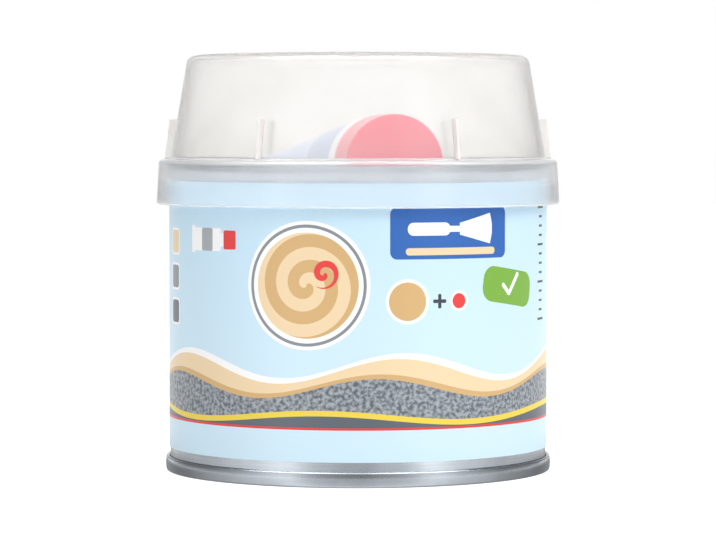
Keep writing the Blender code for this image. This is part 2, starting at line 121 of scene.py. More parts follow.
def roundedPath(points, steps=5):
    # a polyline with an arc in place of each corner that has a bend radius
    path = []
    for i, point in enumerate(points):
        here = Vector(point[:2])
        bend = point[2] if len(point) > 2 else 0
        if not bend:
            path.append(here)
            continue
        back = (Vector(points[i - 1][:2]) - here).normalized()
        onward = (Vector(points[i + 1][:2]) - here).normalized()
        halfAngle = back.angle(onward) / 2
        centre = here + (back + onward).normalized() * bend / math.sin(halfAngle)
        start = here + back * bend / math.tan(halfAngle) - centre
        sweep = math.copysign(math.pi - 2 * halfAngle, start.y * back.x - start.x * back.y)
        for k in range(steps + 1):
            c, s = math.cos(sweep * k / steps), math.sin(sweep * k / steps)
            path.append(centre + Vector((start.x * c - start.y * s, start.x * s + start.y * c)))
    return path


def plateOutline(path, thickness):
    # both faces of a plate that follows a path, as one loop
    left, right = [], []
    for i, here in enumerate(path):
        along = []
        if i:
            along.append((here - path[i - 1]).normalized())
        if i + 1 < len(path):
            along.append((path[i + 1] - here).normalized())
        normals = [Vector((-d.y, d.x)) for d in along]
        mitre = sum(normals, Vector((0, 0))).normalized()
        reach = thickness / 2 / mitre.dot(normals[0])
        left.append(here + mitre * reach)
        right.append(here - mitre * reach)
    return left + right[::-1]


def lathed(outline, steps, shape=None):
    # revolves a loop, or a line from axis to axis, about Z; shape may move a point by its angle
    onAxis = 1e-6   # mm, the radius up to which a point is on the axis
    work = bmesh.new()
    rings = []
    for r, z in outline:
        ring = []
        for i in range(steps if r > onAxis else 1):
            angle = 2 * math.pi * i / steps
            radius, height = shape(r, z, angle) if shape else (r, z)
            point = Vector((radius * math.cos(angle), radius * math.sin(angle), height))
            ring.append(work.verts.new(point * mm))
        rings.append(ring)
    if len(rings[0]) > 1:
        rings.append(rings[0])
    for a, b in zip(rings, rings[1:]):
        for i in range(steps):
            j = (i + 1) % steps
            corners = [a[i % len(a)], a[j % len(a)], b[j % len(b)], b[i % len(b)]]
            work.faces.new(dict.fromkeys(corners))
    return work


def finished(name, work, material):
    # turns mesh work into an object with smooth faces and sharp corners
    bmesh.ops.recalc_face_normals(work, faces=work.faces)
    mesh = bpy.data.meshes.new(name)
    work.to_mesh(mesh)
    work.free()
    mesh.materials.append(material)
    mesh.shade_smooth()
    mesh.set_sharp_from_angle(angle=math.radians(sharpAngle))
    piece = bpy.data.objects.new(name, mesh)
    bpy.context.scene.collection.objects.link(piece)
    return piece


def standFor(piece, node, body):
    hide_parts(node)
    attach(piece, body)


# Materials shared by several pieces

def rolledMetal(name, colour, roughness, weld=0.0):
    # bright rolled sheet: fine grain round the can, faint clouds in the coat, a dull weld line at the back
    material, tree, shader = newMaterial(name, {"Metallic": 1.0})
    grain = {"height": 0.35, "length": 18.0, "cloud": 14.0}   # mm
    patches = {1: 0.3, 2: 0.7}
    dullShare, smoother, rougher = 0.82, 0.07, 0.09
    relief = {"Strength": 0.12, "Distance": 0.02 * mm}
    coords = addNode(tree, "ShaderNodeTexCoord").outputs["Object"]
    stretch = (1 / (grain["length"] * mm), 1 / (grain["length"] * mm), 1 / (grain["height"] * mm))
    lines = addNode(tree, "ShaderNodeMapping", inputs={"Vector": coords, "Scale": stretch}).outputs[0]
    fine = addNode(tree, "ShaderNodeTexNoise", inputs={
        "Vector": lines, "Scale": 1.0, "Detail": 3.0}).outputs["Fac"]
    clouds = addNode(tree, "ShaderNodeTexNoise", inputs={
        "Vector": coords, "Scale": 1 / (grain["cloud"] * mm), "Detail": 4.0}).outputs["Fac"]
    bright = linear(colour)
    dull = [c * dullShare for c in bright[:3]] + [1.0]
    patchy = addNode(tree, "ShaderNodeMapRange", inputs={0: clouds, **patches}).outputs[0]
    tint = addNode(tree, "ShaderNodeMix", {"data_type": "RGBA"}, {0: patchy, 6: dull, 7: bright}).outputs[2]
    if weld:
        parts = addNode(tree, "ShaderNodeSeparateXYZ", inputs={0: coords}).outputs
        narrow = addNode(tree, "ShaderNodeMath", {"operation": "COMPARE"}, {
            0: parts["X"], 1: 0.0, 2: weld * mm / 2}).outputs[0]
        behind = addNode(tree, "ShaderNodeMath", {"operation": "GREATER_THAN"}, {
            0: parts["Y"], 1: 0.0}).outputs[0]
        line = addNode(tree, "ShaderNodeMath", {"operation": "MULTIPLY"}, {0: narrow, 1: behind}).outputs[0]
        tint = paintLayers(tree, tint, [(line, "#92989E")])
    rough = addNode(tree, "ShaderNodeMapRange", inputs={
        0: fine, 3: roughness - smoother, 4: roughness + rougher}).outputs[0]
    bump = addNode(tree, "ShaderNodeBump", inputs={**relief, "Height": fine}).outputs[0]
    wire(tree, shader, {"Base Color": tint, "Roughness": rough, "Normal": bump})
    return material


def grainedMatter(name, colour, other, roughness, grainSize=0.6, bumpDepth=0.03, sheen=0.0):
    # moulded plastic, paste or rubber: an even colour with a faint flow mottle and a fine satin grain
    flowSize = 7.0   # mm, as the grain's size and depth are
    roughSpread, sheenRoughness = 0.06, 0.33
    relief = {"Strength": 0.15, "Distance": bumpDepth * mm}
    material, tree, shader = newMaterial(name, {
        "IOR": 1.5, "Sheen Weight": sheen, "Sheen Roughness": sheenRoughness})
    coords = addNode(tree, "ShaderNodeTexCoord").outputs["Object"]
    flow = addNode(tree, "ShaderNodeTexNoise", inputs={
        "Vector": coords, "Scale": 1 / (flowSize * mm), "Detail": 4.0}).outputs["Fac"]
    grain = addNode(tree, "ShaderNodeTexNoise", inputs={
        "Vector": coords, "Scale": 1 / (grainSize * mm), "Detail": 3.0}).outputs["Fac"]
    tint = addNode(tree, "ShaderNodeMix", {"data_type": "RGBA"}, {
        0: flow, 6: linear(colour), 7: linear(other)}).outputs[2]
    rough = addNode(tree, "ShaderNodeMapRange", inputs={
        0: grain, 3: roughness - roughSpread, 4: roughness + roughSpread}).outputs[0]
    bump = addNode(tree, "ShaderNodeBump", inputs={**relief, "Height": grain}).outputs[0]
    wire(tree, shader, {"Base Color": tint, "Roughness": rough, "Normal": bump})
    return material


# Can: a welded body and two ends, each end hooked into the body by a double seam

canShape = {"bodyRadius": 49.3, "bodyPlate": 0.25, "endPlate": 0.28, "seamHeight": 3.9, "seamGap": 0.15,
            "seamBend": 0.42, "seamBarrel": 0.18, "hookRoom": 0.35, "mouthRadius": 42.6, "weldWidth": 1.2,
            "steps": 192}   # mm
canTop = boxInMillimetres("top_ring")[1].z
wallRadius = canShape["bodyRadius"] - canShape["bodyPlate"] / 2
hookRadius = boxInMillimetres("can_body")[1].x - canShape["bodyPlate"] / 2
bodyFold = boxInMillimetres("can_body")[0].z + canShape["bodyPlate"] / 2
halfEnd = canShape["endPlate"] / 2
chuckRadius = canShape["bodyRadius"] - canShape["bodyPlate"] - canShape["seamGap"] - halfEnd
endHookRadius = canShape["bodyRadius"] + canShape["seamGap"] + halfEnd
seamRadius = boxInMillimetres("can_bottom")[1].x - halfEnd
almostHalf = 0.4999   # of a fold's width: the bend that makes it round


def upsideDown(points):
    # a profile of the can's foot, turned over to its top
    return [(p[0], canTop - p[1], *p[2:]) for p in points]


def seamProfile():
    # an end's plate from its chuck wall round the slightly barrelled seam to the edge of its hook
    rim = seamRadius - canShape["seamBarrel"]
    fold = (rim - endHookRadius) * almostHalf
    head = canShape["seamHeight"] - halfEnd
    hookEdge = bodyFold + canShape["bodyPlate"] / 2 + canShape["hookRoom"]
    return [(chuckRadius, halfEnd, canShape["seamBend"]), (rim, halfEnd, canShape["seamBend"]),
            (seamRadius, canShape["seamHeight"] / 2, canShape["seamHeight"] * 2), (rim, head, fold),
            (endHookRadius, head, fold), (endHookRadius, hookEdge)]


def beadProfile(height, outer, width, depth, bend=0.5):
    # a shallow ring pressed down into a panel, from the axis outwards
    inner = outer - width
    return [(0, height), (inner, height, bend), (inner + depth, height - depth, bend),
            (outer - depth, height - depth, bend), (outer, height, bend)]


def makeCanBody(tinplate):
    fold = (hookRadius - wallRadius) * almostHalf
    hookEdge = canShape["seamHeight"] - canShape["endPlate"] - canShape["hookRoom"]
    hook = [(hookRadius, hookEdge), (hookRadius, bodyFold, fold), (wallRadius, bodyFold, fold)]
    path = roundedPath(hook + upsideDown(hook)[::-1], steps=8)
    work = lathed(plateOutline(path, canShape["bodyPlate"]), canShape["steps"])
    standFor(finished("can_wall", work, tinplate), "can_body", "can")


def makeCanBottom(tinplate):
    panel = {"height": 3.6, "beadInset": 12.8, "beadWidth": 5.0, "beadDepth": 0.6, "grooveRise": 1.3,
             "grooveWidth": 1.3, "grooveLean": 0.35, "panelBend": 0.45, "grooveBend": 0.6}   # mm
    grooveFoot = chuckRadius - panel["grooveWidth"]
    grooveTop = panel["height"] + panel["grooveRise"]
    profile = beadProfile(panel["height"], chuckRadius - panel["beadInset"],
                          panel["beadWidth"], panel["beadDepth"])
    profile += [(grooveFoot - panel["grooveLean"], panel["height"], panel["panelBend"]),
                (grooveFoot, grooveTop, panel["grooveBend"]), (chuckRadius, grooveTop, panel["grooveBend"])]
    path = roundedPath(profile + seamProfile())
    work = lathed(plateOutline(path, canShape["endPlate"]), canShape["steps"])
    standFor(finished("can_bottom_end", work, tinplate), "can_bottom", "can")


def makeLeverRing(tinplate):
    ring = {"beadTop": 76.9, "beadBend": 1.2, "gutter": 75.36, "gutterBend": 0.15}   # mm
    bore = canShape["mouthRadius"] + halfEnd
    boreEnd = boxInMillimetres("top_ring")[0].z
    beadTop = ring["beadTop"] - halfEnd
    beadEdge = bore + ring["beadBend"] / almostHalf
    profile = [(bore, boreEnd), (bore, beadTop, ring["beadBend"]), (beadEdge, beadTop, ring["beadBend"]),
               (beadEdge, ring["gutter"], ring["gutterBend"]),
               (chuckRadius, ring["gutter"], canShape["seamBend"])]
    path = roundedPath(profile + upsideDown(seamProfile()))
    work = lathed(plateOutline(path, canShape["endPlate"]), canShape["steps"])
    standFor(finished("lever_ring", work, tinplate), "top_ring", "can")


endTinplate = rolledMetal("tinplate_rolled_bright", "#C6CDD4", 0.2)
makeCanBody(rolledMetal("tinplate_rolled_welded", "#C6CDD4", 0.2, canShape["weldWidth"]))
makeCanBottom(endTinplate)
makeLeverRing(endTinplate)
print("can made")


# Lid: a plug that presses into the ring's bore, with a stiffening bead in its floor and a curled flange

def makeLid():
    lid = {"clearance": 0.2, "corner": 1.2, "beadInset": 9.3, "beadWidth": 3.0, "beadDepth": 0.6,
           "curl": 0.45, "curlDrop": 0.95, "curlIn": 0.55, "curlBend": 0.25}   # mm
    low, high = boxInMillimetres("lever_lid")
    plug = canShape["mouthRadius"] - lid["clearance"] - halfEnd
    floor = low.z + halfEnd + lid["beadDepth"]
    flange = high.z - halfEnd
    edge = high.x - halfEnd
    profile = beadProfile(floor, plug - lid["beadInset"], lid["beadWidth"], lid["beadDepth"])
    profile += [(plug, floor, lid["corner"]), (plug, flange, lid["curl"]), (edge, flange, lid["curl"]),
                (edge, flange - lid["curlDrop"], lid["curlBend"]),
                (edge - lid["curlIn"], flange - lid["curlDrop"])]
    work = lathed(plateOutline(roundedPath(profile), canShape["endPlate"]), canShape["steps"])
    lidTinplate = rolledMetal("tinplate_stamped", "#CFCFCC", 0.27)
    standFor(finished("lever_lid_plate", work, lidTinplate), "lever_lid", "lid")


makeLid()
print("lid made")


# Label: its UV map is in millimetres, across from the front's middle and up from the label's foot

def discMask(tree, uv, centre, radius):
    away = addNode(tree, "ShaderNodeVectorMath", {"operation": "DISTANCE"}, {
        0: uv, 1: (*centre, 0)}).outputs["Value"]
    return addNode(tree, "ShaderNodeMath", {"operation": "LESS_THAN"}, {0: away, 1: radius}).outputs[0]


def ringMask(tree, uv, centre, radius, width):
    away = addNode(tree, "ShaderNodeVectorMath", {"operation": "DISTANCE"}, {
        0: uv, 1: (*centre, 0)}).outputs["Value"]
    return addNode(tree, "ShaderNodeMath", {"operation": "COMPARE"}, {
        0: away, 1: radius, 2: width / 2}).outputs[0]


def tagMask(tree, uv, centre, size, corner, turn=0.0):
    # a rectangle with round corners, turned by so many degrees
    local = addNode(tree, "ShaderNodeMapping", {"vector_type": "TEXTURE"}, {
        "Vector": uv, "Location": (*centre, 0), "Rotation": (0, 0, math.radians(turn))}).outputs[0]
    folded = addNode(tree, "ShaderNodeVectorMath", {"operation": "ABSOLUTE"}, {0: local}).outputs[0]
    past = addNode(tree, "ShaderNodeVectorMath", {"operation": "SUBTRACT"}, {
        0: folded, 1: (size[0] / 2 - corner, size[1] / 2 - corner, 0)}).outputs[0]
    outside = addNode(tree, "ShaderNodeVectorMath", {"operation": "MAXIMUM"}, {
        0: past, 1: (0, 0, 0)}).outputs[0]
    away = addNode(tree, "ShaderNodeVectorMath", {"operation": "LENGTH"}, {0: outside}).outputs["Value"]
    return addNode(tree, "ShaderNodeMath", {"operation": "LESS_THAN"}, {0: away, 1: corner}).outputs[0]


def gridMask(tree, uv, first, count, pitch, size, corner):
    # so many equal tags across and up, counted from the middle of the first
    fieldCorner = 0.1   # mm
    local = addNode(tree, "ShaderNodeVectorMath", {"operation": "SUBTRACT"}, {
        0: uv, 1: (*first, 0)}).outputs[0]
    half = (pitch[0] / 2, pitch[1] / 2, 1)
    wrapped = addNode(tree, "ShaderNodeVectorMath", {"operation": "WRAP"}, {
        0: local, 1: half, 2: [-h for h in half]}).outputs[0]
    middle = [f + p * (n - 1) / 2 for f, p, n in zip(first, pitch, count)]
    whole = tagMask(tree, uv, middle, [p * n for p, n in zip(pitch, count)], fieldCorner)
    one = tagMask(tree, wrapped, (0, 0), size, corner)
    return addNode(tree, "ShaderNodeMath", {"operation": "MULTIPLY"}, {0: whole, 1: one}).outputs[0]


def waveMask(tree, across, up, level, height, length, phase):
    # everything below a waving line
    turn = addNode(tree, "ShaderNodeMath", {"operation": "MULTIPLY_ADD"}, {
        0: across, 1: 2 * math.pi / length, 2: phase}).outputs[0]
    swing = addNode(tree, "ShaderNodeMath", {"operation": "SINE"}, {0: turn}).outputs[0]
    edge = addNode(tree, "ShaderNodeMath", {"operation": "MULTIPLY_ADD"}, {
        0: swing, 1: height, 2: level}).outputs[0]
    return addNode(tree, "ShaderNodeMath", {"operation": "LESS_THAN"}, {0: up, 1: edge}).outputs[0]


def swirlMask(tree, uv, centre, radius, twist):
    # one half of a disc, turned further the nearer it is to the edge
    local = addNode(tree, "ShaderNodeVectorMath", {"operation": "SUBTRACT"}, {
        0: uv, 1: (*centre, 0)}).outputs[0]
    away = addNode(tree, "ShaderNodeVectorMath", {"operation": "LENGTH"}, {0: local}).outputs["Value"]
    angle = addNode(tree, "ShaderNodeMath", {"operation": "MULTIPLY"}, {
        0: away, 1: twist / radius}).outputs[0]
    turned = addNode(tree, "ShaderNodeVectorRotate", {"rotation_type": "Z_AXIS"}, {
        "Vector": local, "Angle": angle}).outputs[0]
    side = addNode(tree, "ShaderNodeSeparateXYZ", inputs={0: turned}).outputs["X"]
    half = addNode(tree, "ShaderNodeMath", {"operation": "GREATER_THAN"}, {0: side, 1: 0.0}).outputs[0]
    inside = addNode(tree, "ShaderNodeMath", {"operation": "LESS_THAN"}, {0: away, 1: radius}).outputs[0]
    return addNode(tree, "ShaderNodeMath", {"operation": "MULTIPLY"}, {0: half, 1: inside}).outputs[0]


labelInk = {"sky": "#CBE9FB", "pale": "#D3EDFC", "white": "#FFFFFF", "red": "#E8413F", "blue": "#2B67B8",
            "green": "#7DB340", "cream": "#F3D9B0", "ochre": "#D9B27A", "yellow": "#F2D64B",
            "grey": "#8A9097", "lightGrey": "#A9AFB4", "slate": "#5E666F", "dark": "#343A42"}
labelShape = {"gap": 0.1, "thickness": 0.2, "lapDegrees": 10, "rampDegrees": 10, "startDegrees": 90}
labelRadius = canShape["bodyRadius"] + labelShape["gap"] + labelShape["thickness"]


def landscapeInks(tree, uv):
    # bands like coats of repair on a panel, waving round the lower half of the can
    ink = labelInk
    grit = 1.0   # mm, drawn coarser than sanding dust so that it shows
    contrast = {1: 0.38, 2: 0.62}
    girth = 2 * math.pi * labelRadius
    parts = addNode(tree, "ShaderNodeSeparateXYZ", inputs={0: uv}).outputs
    speckle = addNode(tree, "ShaderNodeTexNoise", inputs={
        "Vector": uv, "Scale": 1 / grit, "Detail": 3.0}).outputs["Fac"]
    coarse = addNode(tree, "ShaderNodeMapRange", inputs={0: speckle, **contrast}).outputs[0]
    sanded = addNode(tree, "ShaderNodeMix", {"data_type": "RGBA"}, {
        0: coarse, 6: linear(ink["slate"]), 7: linear(ink["lightGrey"])}).outputs[2]
    # level and half height of the wave in mm, waves round the can, phase and ink, from the top down
    bands = [(24.0, 3.2, 5, 0.4, ink["white"]), (22.6, 3.2, 5, 0.55, ink["cream"]),
             (19.4, 2.6, 5, 1.0, ink["ochre"]), (18.2, 2.6, 5, 1.1, sanded),
             (11.6, 1.3, 4, 2.3, ink["yellow"]), (10.2, 1.3, 4, 2.3, ink["slate"]),
             (8.6, 0.0, 1, 0.0, ink["red"]), (8.0, 0.0, 1, 0.0, ink["pale"])]
    return [(waveMask(tree, parts["X"], parts["Y"], level, height, girth / waves, phase), colour)
            for level, height, waves, phase, colour in bands]


def bowlInks(tree, uv, centre, radius):
    # paste being stirred in a bowl, seen from above
    ink = labelInk
    bowl = {"card": 1.22, "rim": 1.12, "rimWidth": 0.06, "dab": 0.28, "dabAt": (0.34, 0.22)}   # of the radius
    pasteTwist, dabTwist = 13.0, 7.0   # radians from the middle to the edge
    dab = [middle + radius * share for middle, share in zip(centre, bowl["dabAt"])]
    return [(discMask(tree, uv, centre, radius * bowl["card"]), ink["white"]),
            (ringMask(tree, uv, centre, radius * bowl["rim"], radius * bowl["rimWidth"]), ink["grey"]),
            (discMask(tree, uv, centre, radius), ink["cream"]),
            (swirlMask(tree, uv, centre, radius, pasteTwist), ink["ochre"]),
            (swirlMask(tree, uv, dab, radius * bowl["dab"], dabTwist), ink["red"])]


def tubeInks(tree, uv, centre):
    # a tube of hardener lying down: crimp, sleeve with a band, shoulder and screw cap
    pieces = {"crimp": (-7.8, 1.6, 7.0, "white"), "sleeve": (-2.0, 11.4, 5.8, "white"),
              "band": (-1.6, 4.4, 5.8, "lightGrey"), "shoulder": (4.2, 1.6, 3.4, "white"),
              "cap": (6.8, 4.2, 4.8, "red")}   # mm along from the centre, long and high, and the ink
    corner = 0.5                               # mm
    return [(tagMask(tree, uv, (centre[0] + along, centre[1]), (length, height), corner), labelInk[ink])
            for along, length, height, ink in pieces.values()]


def knifeInks(tree, uv, centre, length, colour):
    # a filling knife in shares of its length: handle, neck, and a blade that widens to its edge
    # along from the centre, long, high and corner
    grip = {"handle": (-0.27, 0.46, 0.13, 0.06), "neck": (0.03, 0.2, 0.06, 0.02)}
    blade = {"root": 0.08, "long": 0.4, "high": 0.12, "corner": 0.01}
    spread = 14   # degrees to each side
    x, y = centre
    masks = [tagMask(tree, uv, (x + length * along, y), (length * long, length * high), length * corner)
             for along, long, high, corner in grip.values()]
    size = (length * blade["long"], length * blade["high"])
    for turn in (-spread, 0, spread):
        middle = (x + length * blade["root"] + size[0] / 2 * math.cos(math.radians(turn)),
                  y + size[0] / 2 * math.sin(math.radians(turn)))
        masks.append(tagMask(tree, uv, middle, size, length * blade["corner"], turn))
    return [(mask, colour) for mask in masks]


def tickInks(tree, uv, centre, size, turn):
    # a green tag with a white tick
    # mm across, up and long, and degrees of slant
    strokes = {"short": (-1.6, -0.5, 4.0, -45), "long": (1.5, 0.7, 7.0, 52)}
    thick, corner = 1.1, 0.5   # mm
    tagRounding = 0.38         # of the tag's height
    layers = [(tagMask(tree, uv, centre, size, size[1] * tagRounding, turn), labelInk["green"])]
    for across, up, length, slant in strokes.values():
        spot = (centre[0] + across, centre[1] + up)
        layers.append((tagMask(tree, uv, spot, (length, thick), corner, slant), labelInk["white"]))
    return layers


def ratioInks(tree, uv, centre):
    # a large dab of paste plus a small dab of hardener
    dabs = {"paste": (-7.5, 5.6, 4.8, "ochre"), "hardener": (6.5, 2.6, 1.9, "red")}   # mm across, radii, ink
    plus = {"across": 1.0, "long": 3.6, "thick": 0.9, "corner": 0.3}                  # mm
    x, y = centre
    layers = []
    for across, card, radius, ink in dabs.values():
        layers.append((discMask(tree, uv, (x + across, y), card), labelInk["white"]))
        layers.append((discMask(tree, uv, (x + across, y), radius), labelInk[ink]))
    for size in ((plus["long"], plus["thick"]), (plus["thick"], plus["long"])):
        layers.append((tagMask(tree, uv, (x + plus["across"], y), size, plus["corner"]), labelInk["dark"]))
    return layers


def frontInks(tree, uv):
    ink = labelInk
    place = {"bowl": (-13.0, 44.0), "tube": (-42.0, 55.0), "panel": (25.0, 57.0), "tick": (44.0, 43.0),
             "ratio": (20.0, 40.0), "swatch": (-62.0, 54.0), "scale": (62.0, 34.0)}   # mm
    panel = {"size": (34.0, 13.0), "corner": 1.8, "knife": 25.0, "knifeLift": 1.0, "smear": (26.0, 1.8),
             "smearCorner": 0.85, "smearDrop": 4.6}   # mm
    swatch = {"pitch": 9.0, "card": (7.0, 7.0), "cardCorner": 1.4, "size": (5.8, 5.8), "corner": 1.0}   # mm
    marks = {"short": (13, 2.4, 2.8), "long": (4, 9.6, 5.0)}   # how many, mm apart, mm long
    column, thick, markCorner = 12.0, 0.6, 0.2                 # mm
    bowlRadius, tickSize, tickTurn = 13.2, (20.0, 9.0), -8     # mm and degrees
    x, y = place["panel"]
    smear = (x, y - panel["smearDrop"])
    layers = bowlInks(tree, uv, place["bowl"], bowlRadius)
    layers += tubeInks(tree, uv, place["tube"])
    layers.append((tagMask(tree, uv, place["panel"], panel["size"], panel["corner"]), ink["blue"]))
    layers.append((tagMask(tree, uv, smear, panel["smear"], panel["smearCorner"]), ink["cream"]))
    layers += knifeInks(tree, uv, (x, y + panel["knifeLift"]), panel["knife"], ink["white"])
    layers += tickInks(tree, uv, place["tick"], tickSize, tickTurn)
    layers += ratioInks(tree, uv, place["ratio"])
    for k, colour in enumerate(("cream", "grey", "slate")):
        spot = (place["swatch"][0], place["swatch"][1] - swatch["pitch"] * k)
        layers.append((tagMask(tree, uv, spot, swatch["card"], swatch["cardCorner"]), ink["white"]))
        layers.append((tagMask(tree, uv, spot, swatch["size"], swatch["corner"]), ink[colour]))
    for count, pitch, length in marks.values():
        lines = gridMask(tree, uv, place["scale"], (1, count), (column, pitch), (length, thick), markCorner)
        layers.append((lines, ink["dark"]))
    return layers


def backInks(tree, uv):
    # on one side a white panel of three steps, on the other a chart of dots
    ink = labelInk
    steps = {"centre": (112.0, 46.0), "size": (66.0, 26.0), "corner": 3.0, "pitch": 21.0, "disc": 8.0,
             "ring": 0.8, "mixed": 5.2, "knife": 13.0}   # mm
    arrow = {"lift": 0.8, "turn": 45, "size": (3.0, 0.8), "corner": 0.3}         # mm and degrees
    portions = {"paste": (-1.6, 3.4, "ochre"), "hardener": (4.2, 1.3, "red")}    # mm across, radius, ink
    chart = {"first": (-133.0, 53.0), "pitch": (7.0, 7.0), "dot": (4.4, 4.4), "dotCorner": 2.19}   # mm
    columns, fewestFull = 7, 3
    mixedTwist = 9.0   # radians from the middle to the edge
    x, y = steps["centre"]
    layers = [(tagMask(tree, uv, steps["centre"], steps["size"], steps["corner"]), ink["white"])]
    for k in (-1, 0, 1):
        spot = (x + steps["pitch"] * k, y)
        layers.append((discMask(tree, uv, spot, steps["disc"]), ink["pale"]))
        layers.append((ringMask(tree, uv, spot, steps["disc"], steps["ring"]), ink["blue"]))
    for k in (-0.5, 0.5):
        for side in (-1, 1):
            spot = (x + steps["pitch"] * k, y - arrow["lift"] * side)
            stroke = tagMask(tree, uv, spot, arrow["size"], arrow["corner"], arrow["turn"] * side)
            layers.append((stroke, ink["dark"]))
    for across, radius, colour in portions.values():
        layers.append((discMask(tree, uv, (x - steps["pitch"] + across, y), radius), ink[colour]))
    layers.append((discMask(tree, uv, (x, y), steps["mixed"]), ink["cream"]))
    layers.append((swirlMask(tree, uv, (x, y), steps["mixed"], mixedTwist), ink["ochre"]))
    layers += knifeInks(tree, uv, (x + steps["pitch"], y), steps["knife"], ink["slate"])
    for k, colour in enumerate(("blue", "green", "red")):
        first = (chart["first"][0], chart["first"][1] - chart["pitch"][1] * k)
        for count, dots in ((columns, "white"), (fewestFull + k, colour)):
            row = gridMask(tree, uv, first, (count, 1), chart["pitch"], chart["dot"], chart["dotCorner"])
            layers.append((row, ink[dots]))
    return layers


def printedFilm():
    # gloss film, offset printed: flat clean inks under a smooth satin surface with a trace of waviness
    material, tree, shader = newMaterial("label_film_printed", {"IOR": 1.5})
    fadeHeights = {1: 20.0, 2: 66.0}   # mm
    rippleSize = 8.333                 # mm
    satin = {3: 0.29, 4: 0.39}
    relief = {"Strength": 0.2, "Distance": 0.05 * mm}
    uv = addNode(tree, "ShaderNodeUVMap", {"uv_map": "labelMillimetres"}).outputs["UV"]
    up = addNode(tree, "ShaderNodeSeparateXYZ", inputs={0: uv}).outputs["Y"]
    fade = addNode(tree, "ShaderNodeMapRange", inputs={0: up, **fadeHeights}).outputs[0]
    ground = addNode(tree, "ShaderNodeMix", {"data_type": "RGBA"}, {
        0: fade, 6: linear(labelInk["pale"]), 7: linear(labelInk["sky"])}).outputs[2]
    layers = landscapeInks(tree, uv) + frontInks(tree, uv) + backInks(tree, uv)
    ripple = addNode(tree, "ShaderNodeTexNoise", inputs={
        "Vector": uv, "Scale": 1 / rippleSize, "Detail": 2.0}).outputs["Fac"]
    rough = addNode(tree, "ShaderNodeMapRange", inputs={0: ripple, **satin}).outputs[0]
    bump = addNode(tree, "ShaderNodeBump", inputs={**relief, "Height": ripple}).outputs[0]
    wire(tree, shader, {"Base Color": paintLayers(tree, ground, layers), "Roughness": rough, "Normal": bump})
    return material


def makeLabel():
    # one strip round the can whose end rides up over its start at the back
    low, high = boxInMillimetres("wrap_label")
    thick = labelShape["thickness"]
    work = bmesh.new()
    uvLayer = work.loops.layers.uv.new("labelMillimetres")
    columns = []
    for turned in range(360 + labelShape["lapDegrees"] + 1):
        climb = (turned - 360) / labelShape["rampDegrees"] + 1
        inner = labelRadius - thick + min(max(climb, 0), 1) * (thick + labelShape["gap"])
        angle = math.radians(labelShape["startDegrees"] + turned)
        across = (angle - math.radians(270)) * labelRadius
        section = []
        for radius, z in ((inner, low.z), (inner + thick, low.z), (inner + thick, high.z), (inner, high.z)):
            point = Vector((radius * math.cos(angle), radius * math.sin(angle), z)) * mm
            section.append((work.verts.new(point), (across, z - low.z)))
        columns.append(section)
    outlines = [columns[0], columns[-1]]
    for a, b in zip(columns, columns[1:]):
        outlines += [(a[k - 1], b[k - 1], b[k], a[k]) for k in range(4)]
    for outline in outlines:
        face = work.faces.new([vertex for vertex, uv in outline])
        for loop, (vertex, uv) in zip(face.loops, outline):
            loop[uvLayer].uv = uv
    standFor(finished("printed_wrap_label", work, printedFilm()), "wrap_label", "can")


makeLabel()
print("label made")


# Filler: its top keeps the swirl of the stirrer

def makeFiller():
    fill = {"dish": 0.8, "edge": 4.0, "swirlDepth": 0.5, "swirlPitch": 7.5, "drift": 12.0, "fade": 6.0,
            "still": 0.1, "foot": 1.0, "rings": 30, "steps": 120}   # mm
    driftTurn = 3   # radians
    low, high = boxInMillimetres("filler_paste")
    crown = high.x - fill["edge"]
    outline = []
    for i in range(fill["rings"] + 1):
        share = i / fill["rings"]
        outline.append((crown * share, high.z - fill["dish"] * (1 - share ** 2)))
    outline += [(high.x, high.z - fill["dish"]), (high.x, low.z), (0, low.z)]

    def stirred(r, z, angle):
        if r > crown - fill["still"] or z < low.z + fill["foot"]:
            return r, z
        drift = noise.noise(Vector((r * math.cos(angle), r * math.sin(angle), 0)) / fill["drift"])
        wave = math.sin(2 * math.pi * r / fill["swirlPitch"] + angle + driftTurn * drift)
        fadeIn = min(r / fill["fade"], 1) * min((crown - r) / fill["fade"], 1)
        return r, z + fill["swirlDepth"] * fadeIn * (wave - 1) / 2

    paste = grainedMatter("polyester_filler_paste", "#D9B98A", "#C9A473", 0.55, 0.9, 0.1)
    work = lathed(outline, fill["steps"], stirred)
    standFor(finished("filler_fill", work, paste), "filler_paste", "can")


makeFiller()
print("filler made")


# Hardener tube: each piece is built along Z from the crimp to the cap and laid on the cap joint's axis

tubeShape = {"length": 72.0, "capRadius": 12.65, "capLength": 12.0, "capWall": 1.4, "capGap": 0.4,
             "sleeveInset": 0.3, "sleeveWall": 0.5, "roundLength": 4.0, "crimpLength": 5.0,
             "crimpThickness": 1.0, "ridgePitch": 0.8, "ridgeDepth": 0.12, "shoulderPlate": 1.6,
             "fit": 0.1, "neckRadius": 5.0}   # mm
swell = 0.6   # power of the sleeve's rise from the crimp: 1 is a straight wedge
sleeveRadius = tubeShape["capRadius"] - tubeShape["sleeveInset"]
shoulderTop = tubeShape["length"] - tubeShape["capLength"] - tubeShape["capGap"]
shoulderFoot = shoulderTop - tubeShape["shoulderPlate"]
sleeveEnd = shoulderFoot - tubeShape["fit"]


def tubeMatrix():
    joint = next(j for j in frame["joints"] if j["name"] == "tube_cap_turn")
    towardsCap = Vector(joint["axis"]).normalized()
    up = Vector((0, 0, 1))
    turned = Matrix((up.cross(towardsCap), up, towardsCap)).transposed().to_4x4()
    return Matrix.Translation(Vector(joint["pos_m"]) - towardsCap * tubeShape["length"] * mm) @ turned


